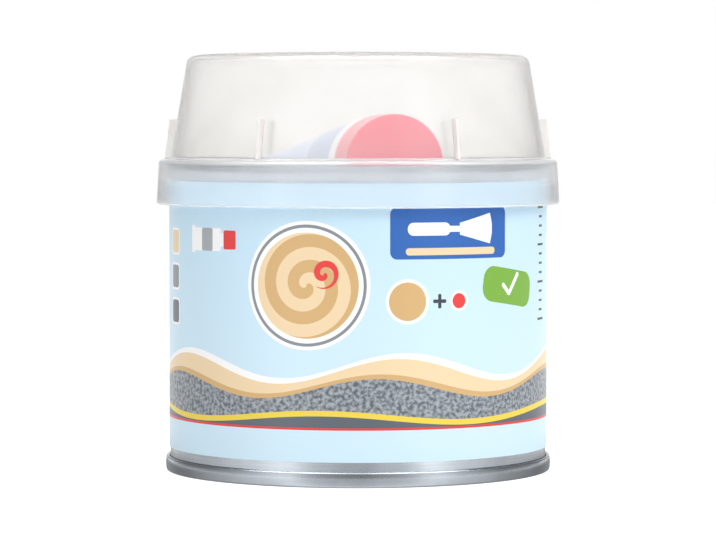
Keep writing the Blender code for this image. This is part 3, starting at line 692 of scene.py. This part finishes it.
def flattenedWidth(tall):
    # half the width of an ellipse this tall whose girth is that of the round sleeve (Ramanujan)
    narrow, wide = sleeveRadius, 2 * sleeveRadius
    halvings = 40
    for _ in range(halvings):
        width = (narrow + wide) / 2
        bulge = 3 * ((width - tall) / (width + tall)) ** 2
        tooLong = (width + tall) * (1 + bulge / (10 + math.sqrt(4 - bulge))) > 2 * sleeveRadius
        narrow, wide = (narrow, width) if tooLong else (width, wide)
    return width


def sleeveRing(z, inset, steps=72):
    # a section of the sleeve, from the flat crimp to the round end
    crimpPower, rounding = 0.35, 4   # a power of 1 is an ellipse, and a lower one is squarer
    thin = tubeShape["crimpThickness"] / 2
    run = sleeveEnd - tubeShape["roundLength"] - tubeShape["crimpLength"]
    share = min(max((z - tubeShape["crimpLength"]) / run, 0), 1)
    tall = thin + (sleeveRadius - thin) * share ** swell
    width = flattenedWidth(tall) - inset
    tall = max(tall - inset, thin / 4)
    if z < tubeShape["crimpLength"]:
        tall -= tubeShape["ridgeDepth"] * math.sin(math.pi * z / tubeShape["ridgePitch"]) ** 2
    power = min(crimpPower + rounding * share, 1)
    ring = []
    for i in range(steps):
        c, s = math.cos(2 * math.pi * i / steps), math.sin(2 * math.pi * i / steps)
        x, y = math.copysign(abs(c) ** power, c), math.copysign(abs(s) ** power, s)
        ring.append(Vector((x * width, y * tall, z)) * mm)
    return ring


def printedSleeve():
    # white polyethylene sleeve with a satin skin, printed with two blue-grey fields; its ends stay white
    material, tree, shader = newMaterial("polyethylene_printed_extruded", {"IOR": 1.5})
    field = {"top": 53.5, "middle": 38.0, "foot": 6.0, "waveHeight": 2.2, "waveLength": 26.0,
             "line": 1.2}   # mm
    cloudSize, grainSize = 6.667, 0.5556   # mm
    satin = {3: 0.36, 4: 0.48}
    relief = {"Strength": 0.1, "Distance": 0.03 * mm}
    coords = addNode(tree, "ShaderNodeTexCoord").outputs["Object"]
    local = addNode(tree, "ShaderNodeVectorMath", {"operation": "SCALE"}, {
        0: coords, "Scale": 1 / mm}).outputs[0]
    parts = addNode(tree, "ShaderNodeSeparateXYZ", inputs={0: local}).outputs
    flow = addNode(tree, "ShaderNodeTexNoise", inputs={
        "Vector": local, "Scale": 1 / cloudSize}).outputs["Fac"]
    ground = addNode(tree, "ShaderNodeMix", {"data_type": "RGBA"}, {
        0: flow, 6: linear("#EDEFF3"), 7: linear("#E2E6EE")}).outputs[2]
    edges = [(field["top"], 0.0, "#AEBAD4"),
             (field["middle"], field["waveHeight"], "#E9EDF4"),
             (field["middle"] - field["line"], field["waveHeight"], "#BECAE4"),
             (field["foot"], 0.0, "#F1F2F5")]
    layers = [(waveMask(tree, parts["X"], parts["Z"], level, height, field["waveLength"], 0.0), colour)
              for level, height, colour in edges]
    grain = addNode(tree, "ShaderNodeTexNoise", inputs={
        "Vector": local, "Scale": 1 / grainSize}).outputs["Fac"]
    rough = addNode(tree, "ShaderNodeMapRange", inputs={0: grain, **satin}).outputs[0]
    bump = addNode(tree, "ShaderNodeBump", inputs={**relief, "Height": grain}).outputs[0]
    wire(tree, shader, {"Base Color": paintLayers(tree, ground, layers), "Roughness": rough, "Normal": bump})
    return material


def makeSleeve(matrix):
    crimpSteps, bellySteps = 50, 32
    crimp = [tubeShape["crimpLength"] * i / crimpSteps for i in range(crimpSteps)]
    run = sleeveEnd - tubeShape["crimpLength"]
    belly = [tubeShape["crimpLength"] + run * i / bellySteps for i in range(bellySteps + 1)]
    rings = [sleeveRing(z, 0) for z in crimp + belly]
    rings += [sleeveRing(z, tubeShape["sleeveWall"]) for z in belly[::-1]]
    work = bmesh.new()
    rows = [[work.verts.new(point) for point in ring] for ring in rings]
    for a, b in zip(rows, rows[1:]):
        for i in range(len(a)):
            work.faces.new((a[i - 1], a[i], b[i], b[i - 1]))
    work.faces.new(rows[0])
    work.faces.new(rows[-1])
    sleeve = finished("hardener_sleeve", work, printedSleeve())
    sleeve.matrix_world = matrix
    standFor(sleeve, "tube_sleeve", "hardener_tube")


def makeShoulder(matrix):
    part = {"bore": 2.5, "spigotLength": 2.6, "neckDrop": 2.0, "edge": 0.4, "neckFoot": 0.5,
            "spigotEdge": 0.3, "steps": 96}   # mm
    neck, neckTop = tubeShape["neckRadius"], tubeShape["length"] - part["neckDrop"]
    spigot = sleeveRadius - tubeShape["sleeveWall"] - tubeShape["fit"]
    spigotBore, spigotEnd = spigot - tubeShape["shoulderPlate"], sleeveEnd - part["spigotLength"]
    profile = [(part["bore"], neckTop), (neck, neckTop, part["edge"]), (neck, shoulderTop, part["neckFoot"]),
               (sleeveRadius, shoulderTop, part["edge"]), (sleeveRadius, shoulderFoot),
               (spigot, shoulderFoot), (spigot, spigotEnd, part["spigotEdge"]),
               (spigotBore, spigotEnd, part["spigotEdge"]), (spigotBore, shoulderFoot),
               (part["bore"], shoulderFoot)]
    white = grainedMatter("polyethylene_moulded", "#F0F0EE", "#E6E6E4", 0.4)
    shoulder = finished("hardener_shoulder", lathed(roundedPath(profile), part["steps"]), white)
    shoulder.matrix_world = matrix
    standFor(shoulder, "tube_shoulder", "hardener_tube")


def makeScrewCap(matrix):
    cap = {"ribs": 90, "ribDepth": 0.15, "ribEnd": 1.2, "edge": 0.8, "bossGap": 0.3, "bossWall": 1.1,
           "rimEdge": 0.2, "skirtCorner": 0.4, "bossCorner": 0.3, "steps": 720}   # mm
    hair = 0.01   # mm, so that points on the ribs' ends count as ribs
    end, radius = tubeShape["length"], tubeShape["capRadius"]
    rim, roof = end - tubeShape["capLength"], end - tubeShape["capWall"]
    skirt = radius - tubeShape["capWall"]
    boss = tubeShape["neckRadius"] + cap["bossGap"]
    ribLow, ribHigh = rim + cap["ribEnd"], roof - cap["ribEnd"] / 2
    bossSide, bossEnd = boss + cap["bossWall"], rim + cap["bossGap"]
    profile = [(0, end), (radius, end, cap["edge"]), (radius, ribHigh), (radius, ribLow),
               (radius, rim, cap["rimEdge"]), (skirt, rim, cap["rimEdge"]), (skirt, roof, cap["skirtCorner"]),
               (bossSide, roof, cap["bossCorner"]), (bossSide, bossEnd), (boss, bossEnd), (boss, roof),
               (0, roof)]

    def ribbed(r, z, angle):
        if r > radius - hair and ribLow - hair < z < ribHigh + hair:
            r -= cap["ribDepth"] * math.sin(cap["ribs"] / 2 * angle) ** 2
        return r, z

    red = grainedMatter("polypropylene_red_moulded", "#F0285C", "#E82056", 0.25, sheen=1.0)
    screwCap = finished("hardener_screw_cap", lathed(roundedPath(profile), cap["steps"], ribbed), red)
    screwCap.matrix_world = matrix
    standFor(screwCap, "tube_cap", "screw_cap")


onCapAxis = tubeMatrix()
makeSleeve(onCapAxis)
makeShoulder(onCapAxis)
makeScrewCap(onCapAxis)
print("hardener tube made")


# Mixing cap: a thin dome on a stepped skirt, with six fins round the dome's foot

capShape = {"wall": 1.4, "seatGap": 0.3, "corner": 2.4, "footRadius": 49.1, "taper": 4.5,
            "shoulderDrop": 0.6, "shoulderBend": 1.0, "lean": 0.65, "flare": 0.5, "rimBend": 0.25,
            "snapRadius": 50.86, "snapTop": 75.8, "snapHeight": 2.2, "snapBend": 3.0, "gateRadius": 2.6,
            "gateDepth": 0.25, "pipRadius": 0.8, "pipHeight": 0.15, "finCount": 6, "finFootReach": 1.7,
            "finTipReach": 2.0, "finHeight": 10.0, "finThickness": 0.8, "finBevel": 0.2, "steps": 360}   # mm
capUnder = canTop + capShape["seatGap"]
capShoulder = capUnder + capShape["wall"]
capFoot, capTop = boxInMillimetres("mixing_cap")[0].z, boxInMillimetres("mixing_cap")[1].z
capSlope = capShape["taper"] / (capTop - capShoulder)
capSide = capShape["wall"] * math.sqrt(1 + capSlope ** 2)


def domeRadius(z):
    return capShape["footRadius"] - capSlope * (z - capShoulder)


def naturalPolypropylene():
    # uncoloured polypropylene, injection moulded: clear, milky where it is thick, a faint orange peel
    material, tree, shader = newMaterial("polypropylene_natural_moulded", {"IOR": 1.49})
    haze = {"mottle": 9.0, "orangePeel": 0.8, "finSkin": 0.1, "rim": 0.5, "shoulder": 0.7,
            "corner": (4.0, 1.4)}   # mm
    gloss = {3: 0.08, 4: 0.12}
    relief = {"Strength": 0.02, "Distance": 0.02 * mm}
    clear, milky, rimShare, shoulderShare, cornerShare = 0.84, 0.3, 0.5, 0.35, 0.15
    coords = addNode(tree, "ShaderNodeTexCoord").outputs["Object"]
    height = addNode(tree, "ShaderNodeSeparateXYZ", inputs={0: coords}).outputs["Z"]
    level = addNode(tree, "ShaderNodeVectorMath", {"operation": "MULTIPLY"}, {
        0: coords, 1: (1, 1, 0)}).outputs[0]
    radius = addNode(tree, "ShaderNodeVectorMath", {"operation": "LENGTH"}, {0: level}).outputs["Value"]
    past = addNode(tree, "ShaderNodeMath", {"operation": "MULTIPLY_ADD"}, {
        0: height, 1: capSlope, 2: radius}).outputs[0]
    outside = addNode(tree, "ShaderNodeMath", {"operation": "GREATER_THAN"}, {
        0: past, 1: (domeRadius(0) + haze["finSkin"]) * mm}).outputs[0]
    above = addNode(tree, "ShaderNodeMath", {"operation": "GREATER_THAN"}, {
        0: height, 1: capShoulder * mm}).outputs[0]
    inFin = addNode(tree, "ShaderNodeMath", {"operation": "MULTIPLY"}, {0: outside, 1: above}).outputs[0]
    inRim = addNode(tree, "ShaderNodeMath", {"operation": "LESS_THAN"}, {
        0: height, 1: (capFoot + haze["rim"]) * mm}).outputs[0]
    thick = addNode(tree, "ShaderNodeMath", {"operation": "MULTIPLY_ADD"}, {
        0: inRim, 1: rimShare, 2: inFin}).outputs[0]
    inShoulder = addNode(tree, "ShaderNodeMath", {"operation": "COMPARE"}, {
        0: height, 1: (capShoulder - haze["shoulder"]) * mm, 2: haze["shoulder"] * mm}).outputs[0]
    thick = addNode(tree, "ShaderNodeMath", {"operation": "MULTIPLY_ADD"}, {
        0: inShoulder, 1: shoulderShare, 2: thick}).outputs[0]
    outAndUp = addNode(tree, "ShaderNodeMath", {"operation": "ADD"}, {0: height, 1: radius}).outputs[0]
    begins, full = [(capTop + domeRadius(capTop) - inset) * mm for inset in haze["corner"]]
    inCorner = addNode(tree, "ShaderNodeMapRange", inputs={
        0: outAndUp, 1: begins, 2: full, 4: cornerShare}).outputs[0]
    thick = addNode(tree, "ShaderNodeMath", {"operation": "ADD"}, {0: thick, 1: inCorner}).outputs[0]
    clarity = addNode(tree, "ShaderNodeMapRange", inputs={0: thick, 3: clear, 4: milky}).outputs[0]
    tint = addNode(tree, "ShaderNodeMix", {"data_type": "RGBA"}, {
        0: above, 6: linear("#F8F9FA"), 7: linear("#FCFBF9")}).outputs[2]
    mottle = addNode(tree, "ShaderNodeTexNoise", inputs={
        "Vector": coords, "Scale": 1 / (haze["mottle"] * mm), "Detail": 3.0}).outputs["Fac"]
    rough = addNode(tree, "ShaderNodeMapRange", inputs={0: mottle, **gloss}).outputs[0]
    peel = addNode(tree, "ShaderNodeTexNoise", inputs={
        "Vector": coords, "Scale": 1 / (haze["orangePeel"] * mm), "Detail": 2.0}).outputs["Fac"]
    bump = addNode(tree, "ShaderNodeBump", inputs={**relief, "Height": peel}).outputs[0]
    wire(tree, shader, {
        "Base Color": tint, "Transmission Weight": clarity, "Roughness": rough, "Normal": bump})
    return material


def capProfile():
    cap = capShape
    gate = {"pipSlope": 0.2, "lipSlope": 0.3, "bend": 0.1, "lipBend": 0.15}   # mm
    footBend, innerBend = 0.5, 0.3                                            # mm
    wall, bend = cap["wall"], cap["rimBend"]
    outer = boxInMillimetres("mixing_cap")[1].x
    outerTop, inner = outer - cap["lean"], outer - wall
    innerTop = inner - cap["flare"]
    snapMiddle = cap["snapTop"] - cap["snapHeight"] / 2
    gateFloor, roof = capTop - cap["gateDepth"], capTop - wall
    pipTop = gateFloor + cap["pipHeight"]
    outside = [(0, pipTop), (cap["pipRadius"], pipTop, gate["bend"]),
               (cap["pipRadius"] + gate["pipSlope"], gateFloor, gate["bend"]),
               (cap["gateRadius"], gateFloor, gate["bend"]),
               (cap["gateRadius"] + gate["lipSlope"], capTop, gate["lipBend"]),
               (domeRadius(capTop), capTop, cap["corner"]), (cap["footRadius"], capShoulder, footBend),
               (outerTop, capShoulder - cap["shoulderDrop"], cap["shoulderBend"]), (outer, capFoot, bend)]
    inside = [(inner, capFoot, bend), (cap["snapRadius"], snapMiddle, cap["snapBend"]),
              (innerTop, cap["snapTop"], cap["snapBend"]), (innerTop, capUnder, innerBend),
              (domeRadius(capUnder) - capSide, capUnder, innerBend),
              (domeRadius(roof) - capSide, roof, cap["corner"] - wall), (0, roof)]
    return outside + inside


def finBlanks(material):
    # plates that reach from inside the dome's wall to just outside it, round at their outer edges
    cap = capShape
    low, high = capShoulder - cap["wall"] / 2, capShoulder + cap["finHeight"]
    corners = [(domeRadius(low) - capSide / 2, low), (cap["footRadius"] + cap["finFootReach"], low),
               (domeRadius(high) + cap["finTipReach"], high), (domeRadius(high) - capSide / 2, high)]
    work = bmesh.new()
    outerEdges = []
    for k in range(cap["finCount"]):
        turn = Matrix.Rotation(2 * math.pi * k / cap["finCount"], 3, "Z")
        sides = [[work.verts.new(turn @ Vector((r, y * cap["finThickness"], z)) * mm) for r, z in corners]
                 for y in (-0.5, 0.5)]
        for side in sides:
            work.faces.new(side)
        for i in range(4):
            work.faces.new((sides[0][i - 1], sides[1][i - 1], sides[1][i], sides[0][i]))
        outerEdges += [work.edges.get((side[1], side[2])) for side in sides]
    bmesh.ops.bevel(work, geom=outerEdges, offset=cap["finBevel"] * mm, segments=3, profile=0.5,
                    affect="EDGES")
    return finished("fin_blanks", work, material)


def makeMixingCap():
    polypropylene = naturalPolypropylene()
    work = lathed(roundedPath(capProfile(), steps=7), capShape["steps"])
    shell = finished("mixing_cap_shell", work, polypropylene)
    fins = finBlanks(polypropylene)
    join = shell.modifiers.new("fins", "BOOLEAN")
    join.operation = "UNION"
    join.object = fins
    graph = bpy.context.evaluated_depsgraph_get()
    shell.data = bpy.data.meshes.new_from_object(shell.evaluated_get(graph))
    shell.modifiers.clear()
    shell.data.set_sharp_from_angle(angle=math.radians(sharpAngle))
    bpy.data.objects.remove(fins)
    standFor(shell, "mixing_cap", "overcap")


makeMixingCap()
print("mixing cap made")


# Small pieces that keep their CAD shape and take a finished material

seamRubber = grainedMatter("sealing_compound_cured", "#8C8272", "#7B7263", 0.7)
keptPieces = {"bottom_seam_seal": seamRubber, "top_seam_seal": seamRubber,
              "tube_foil_seal": rolledMetal("aluminium_foil", "#D4D6D8", 0.22),
              "hardener_paste": grainedMatter("peroxide_hardener_paste", "#C8402F", "#A92F22", 0.5)}
for node, material in keptPieces.items():
    frame["nodes"][node].data.materials.clear()
    frame["nodes"][node].data.materials.append(material)
print("kept pieces finished")


# Studio: a white floor and surround, soft boxes in front and above, and the camera

wallsAndMetal = {1: 4, 2: 5}   # bounces straight through the cap's two walls; and in, off the metal and out


def mirroredLight(tree, towardsBack):
    # what gloss and metal see: dark behind the camera, a soft box on each side, pale at the back
    levels = ((0.0, 0.2), (0.025, 0.4), (0.15, 1.25), (0.28, 0.7), (0.4, 0.45), (0.55, 0.22), (0.85, 0.22),
              (0.98, 0.55))
    share = addNode(tree, "ShaderNodeMapRange", inputs={0: towardsBack, 1: -1.0, 2: 1.0}).outputs[0]
    ramp = addNode(tree, "ShaderNodeValToRGB", inputs={0: share})
    ramp.color_ramp.interpolation = "EASE"
    for place, level in levels:
        stop = ramp.color_ramp.elements.new(place)
        stop.color = (level, level, level, 1)
    ramp.color_ramp.elements.remove(ramp.color_ramp.elements[0])
    return ramp.outputs[0]


def overheadStrip(tree, parts):
    # a long soft box above the front, dim in its middle, which draws a bright line along rounded edges
    strip = {"angle": 110, "halfWidth": 10, "lowest": 0.6}   # degrees up from the back
    level = {1: 0.05, 2: 0.25, 3: 0.8, 4: 6.0}               # from and to, sideways; light there
    angle = addNode(tree, "ShaderNodeMath", {"operation": "ARCTAN2"}, {
        0: parts["Z"], 1: parts["Y"]}).outputs[0]
    within = addNode(tree, "ShaderNodeMath", {"operation": "COMPARE"}, {
        0: angle, 1: math.radians(strip["angle"]), 2: math.radians(strip["halfWidth"])}).outputs[0]
    above = addNode(tree, "ShaderNodeMath", {"operation": "GREATER_THAN"}, {
        0: parts["Z"], 1: strip["lowest"]}).outputs[0]
    shown = addNode(tree, "ShaderNodeMath", {"operation": "MULTIPLY"}, {0: within, 1: above}).outputs[0]
    sideways = addNode(tree, "ShaderNodeMath", {"operation": "ABSOLUTE"}, {0: parts["X"]}).outputs[0]
    light = addNode(tree, "ShaderNodeMapRange", inputs={0: sideways, **level}).outputs[0]
    return addNode(tree, "ShaderNodeMath", {"operation": "MULTIPLY"}, {0: shown, 1: light}).outputs[0]


def makeFloor():
    # white to the eye, dimmer through the cap's walls, brighter in the metal under it;
    # in mirrors a painted contact shade darkens it close to the tin, most of all behind; metres and light
    # levels
    floor = {"size": 6.0, "colour": "#B4B4B4", "ownLight": 0.74, "through": {3: 0.7, 4: 1.3},
             "mirroredBase": 0.72, "near": {1: 0.075, 2: 0.12}, "shaded": (0.62, 0.28),
             "turn": {1: -0.2, 2: 0.7}}
    bpy.ops.mesh.primitive_plane_add(size=floor["size"])
    plane = bpy.context.object
    plane.name = "studio_floor"
    material, tree, shader = newMaterial("floor_white_paper", {
        "Base Color": linear(floor["colour"]), "Roughness": 0.9, "Specular IOR Level": 0.1,
        "Emission Color": (1, 1, 1, 1)})
    rays = addNode(tree, "ShaderNodeLightPath").outputs
    bounced = addNode(tree, "ShaderNodeMapRange", inputs={
        0: rays["Ray Depth"], **wallsAndMetal, **floor["through"]}).outputs[0]
    seen = addNode(tree, "ShaderNodeMath", {"operation": "MULTIPLY_ADD"}, {
        0: rays["Is Transmission Ray"], 1: bounced, 2: rays["Is Camera Ray"]}).outputs[0]
    glow = addNode(tree, "ShaderNodeMath", {"operation": "MULTIPLY"}, {
        0: seen, 1: floor["ownLight"]}).outputs[0]
    wire(tree, shader, {"Emission Strength": glow})
    spot = addNode(tree, "ShaderNodeNewGeometry").outputs
    towardsFront = addNode(tree, "ShaderNodeSeparateXYZ", inputs={0: spot["Incoming"]}).outputs["Y"]
    towardsBack = addNode(tree, "ShaderNodeMath", {"operation": "MULTIPLY"}, {
        0: towardsFront, 1: -1.0}).outputs[0]
    mirrored = addNode(tree, "ShaderNodeMath", {"operation": "ADD"}, {
        0: mirroredLight(tree, towardsBack), 1: floor["mirroredBase"]}).outputs[0]
    away = addNode(tree, "ShaderNodeVectorMath", {"operation": "LENGTH"}, {
        0: spot["Position"]}).outputs["Value"]
    # painted contact shade: the floor's glow in mirrors is made darker close to the tin, most of all behind
    # it
    inFront, behind = [addNode(tree, "ShaderNodeMapRange", inputs={
        0: away, **floor["near"], 3: level}).outputs[0] for level in floor["shaded"]]
    fade = addNode(tree, "ShaderNodeMapRange", inputs={
        0: towardsBack, **floor["turn"], 3: inFront, 4: behind}).outputs[0]
    mirroredWithPaintedShade = addNode(tree, "ShaderNodeMath", {"operation": "MULTIPLY"}, {0: mirrored, 1: fade}).outputs[0]
    lit = addNode(tree, "ShaderNodeEmission", inputs={"Strength": mirroredWithPaintedShade}).outputs[0]
    inGloss = addNode(tree, "ShaderNodeMath", {"operation": "GREATER_THAN"}, {
        0: rays["Is Glossy Ray"], 1: rays["Is Transmission Ray"]}).outputs[0]
    either = addNode(tree, "ShaderNodeMixShader", inputs={
        0: inGloss, 1: shader.outputs[0], 2: lit}).outputs[0]
    tree.links.new(either, tree.nodes["Material Output"].inputs["Surface"])
    plane.data.materials.append(material)


def makeSurround():
    # white to the eye; dimmer at the sides, so that clear edges go grey, with soft boxes for metal to mirror
    world = bpy.data.worlds.new("studio_surround")
    bpy.context.scene.world = world
    world.use_nodes = True
    tree = world.node_tree
    tree.nodes.clear()
    through = {1: 0.2, 2: 0.45, 3: 1.1, 4: 0.35}    # from and to, sideways; light straight on and at the side
    ambient = {1: 0.3, 2: 0.95, 3: 0.95, 4: 0.82}
    leftwards = 0.05                                # the brightest part lies a little to the left
    insideLight = 3.4                               # light that reaches what lies under the clear cap
    fromFront = {1: -1.0, 2: 0.75, 3: 1.3, 4: 0.0}  # light that metal under the cap mirrors, front to back
    direction = addNode(tree, "ShaderNodeTexCoord").outputs["Generated"]
    parts = addNode(tree, "ShaderNodeSeparateXYZ", inputs={0: direction}).outputs
    offCentre = addNode(tree, "ShaderNodeMath", {"operation": "ADD"}, {
        0: parts["X"], 1: leftwards}).outputs[0]
    sideways = addNode(tree, "ShaderNodeMath", {"operation": "ABSOLUTE"}, {0: offCentre}).outputs[0]
    soft = {"interpolation_type": "SMOOTHSTEP"}
    throughLevel = addNode(tree, "ShaderNodeMapRange", soft, {0: sideways, **through}).outputs[0]
    ambientLevel = addNode(tree, "ShaderNodeMapRange", soft, {0: sideways, **ambient}).outputs[0]
    rays = addNode(tree, "ShaderNodeLightPath").outputs
    inside = addNode(tree, "ShaderNodeMath", {"operation": "MINIMUM"}, {
        0: rays["Diffuse Depth"], 1: 1.0}).outputs[0]
    strip = overheadStrip(tree, parts)
    frontLevel = addNode(tree, "ShaderNodeMapRange", inputs={0: parts["Y"], **fromFront}).outputs[0]
    bounced = addNode(tree, "ShaderNodeMapRange", inputs={
        0: rays["Ray Depth"], **wallsAndMetal, 4: frontLevel}).outputs[0]
    throughLevel = addNode(tree, "ShaderNodeMath", {"operation": "MAXIMUM"}, {
        0: throughLevel, 1: bounced}).outputs[0]
    throughLevel = addNode(tree, "ShaderNodeMath", {"operation": "ADD"}, {
        0: throughLevel, 1: strip}).outputs[0]
    throughLevel = addNode(tree, "ShaderNodeMix", {"data_type": "FLOAT"}, {
        0: inside, 2: throughLevel, 3: insideLight}).outputs[0]
    mirrored = addNode(tree, "ShaderNodeMath", {"operation": "ADD"}, {
        0: mirroredLight(tree, parts["Y"]), 1: strip}).outputs[0]
    level = ambientLevel
    strengths = {"Is Glossy Ray": mirrored, "Is Transmission Ray": throughLevel, "Is Camera Ray": 1.0}
    for ray, strength in strengths.items():
        level = addNode(tree, "ShaderNodeMix", {"data_type": "FLOAT"}, {
            0: rays[ray], 2: level, 3: strength}).outputs[0]
    background = addNode(tree, "ShaderNodeBackground", inputs={"Color": (1, 1, 1, 1), "Strength": level})
    addNode(tree, "ShaderNodeOutputWorld", inputs={"Surface": background.outputs[0]})


def makeLamps():
    # place and size in metres, power in watts; seen only as light, not as shapes in the gloss
    lamps = {"key": ((0.8, -1.0, 0.9), 0.7, 7.0), "fill": ((-0.6, -1.2, 0.6), 0.8, 2.5),
             "side": ((1.1, 0.35, 0.5), 0.7, 3.5), "top": ((0.0, 0.1, 1.2), 0.8, 6.0)}
    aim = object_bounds()[1] * 0.5   # half way up, a little right of the axis and behind it
    for name, (place, size, power) in lamps.items():
        data = bpy.data.lights.new("softbox_" + name, "AREA")
        data.size = size
        data.energy = power
        lamp = bpy.data.objects.new("softbox_" + name, data)
        lamp.location = place
        lamp.rotation_euler = (aim - Vector(place)).to_track_quat("-Z", "Y").to_euler()
        lamp.visible_glossy = False
        lamp.visible_transmission = False
        bpy.context.scene.collection.objects.link(lamp)


def makeCamera():
    view = {"distance": 0.859, "height": 0.0889, "tilt": 2.45, "lens": 164.4}   # m, degrees down, mm
    data = bpy.data.cameras.new("studio_camera")
    data.lens = view["lens"]
    camera = bpy.data.objects.new("studio_camera", data)
    camera.location = (0, -view["distance"], view["height"])
    camera.rotation_euler = (math.radians(90 - view["tilt"]), 0, 0)
    bpy.context.scene.collection.objects.link(camera)
    bpy.context.scene.camera = camera
    bpy.context.scene.view_settings.view_transform = "Standard"


makeLamps()
makeFloor()
makeSurround()
makeCamera()
print("studio made")
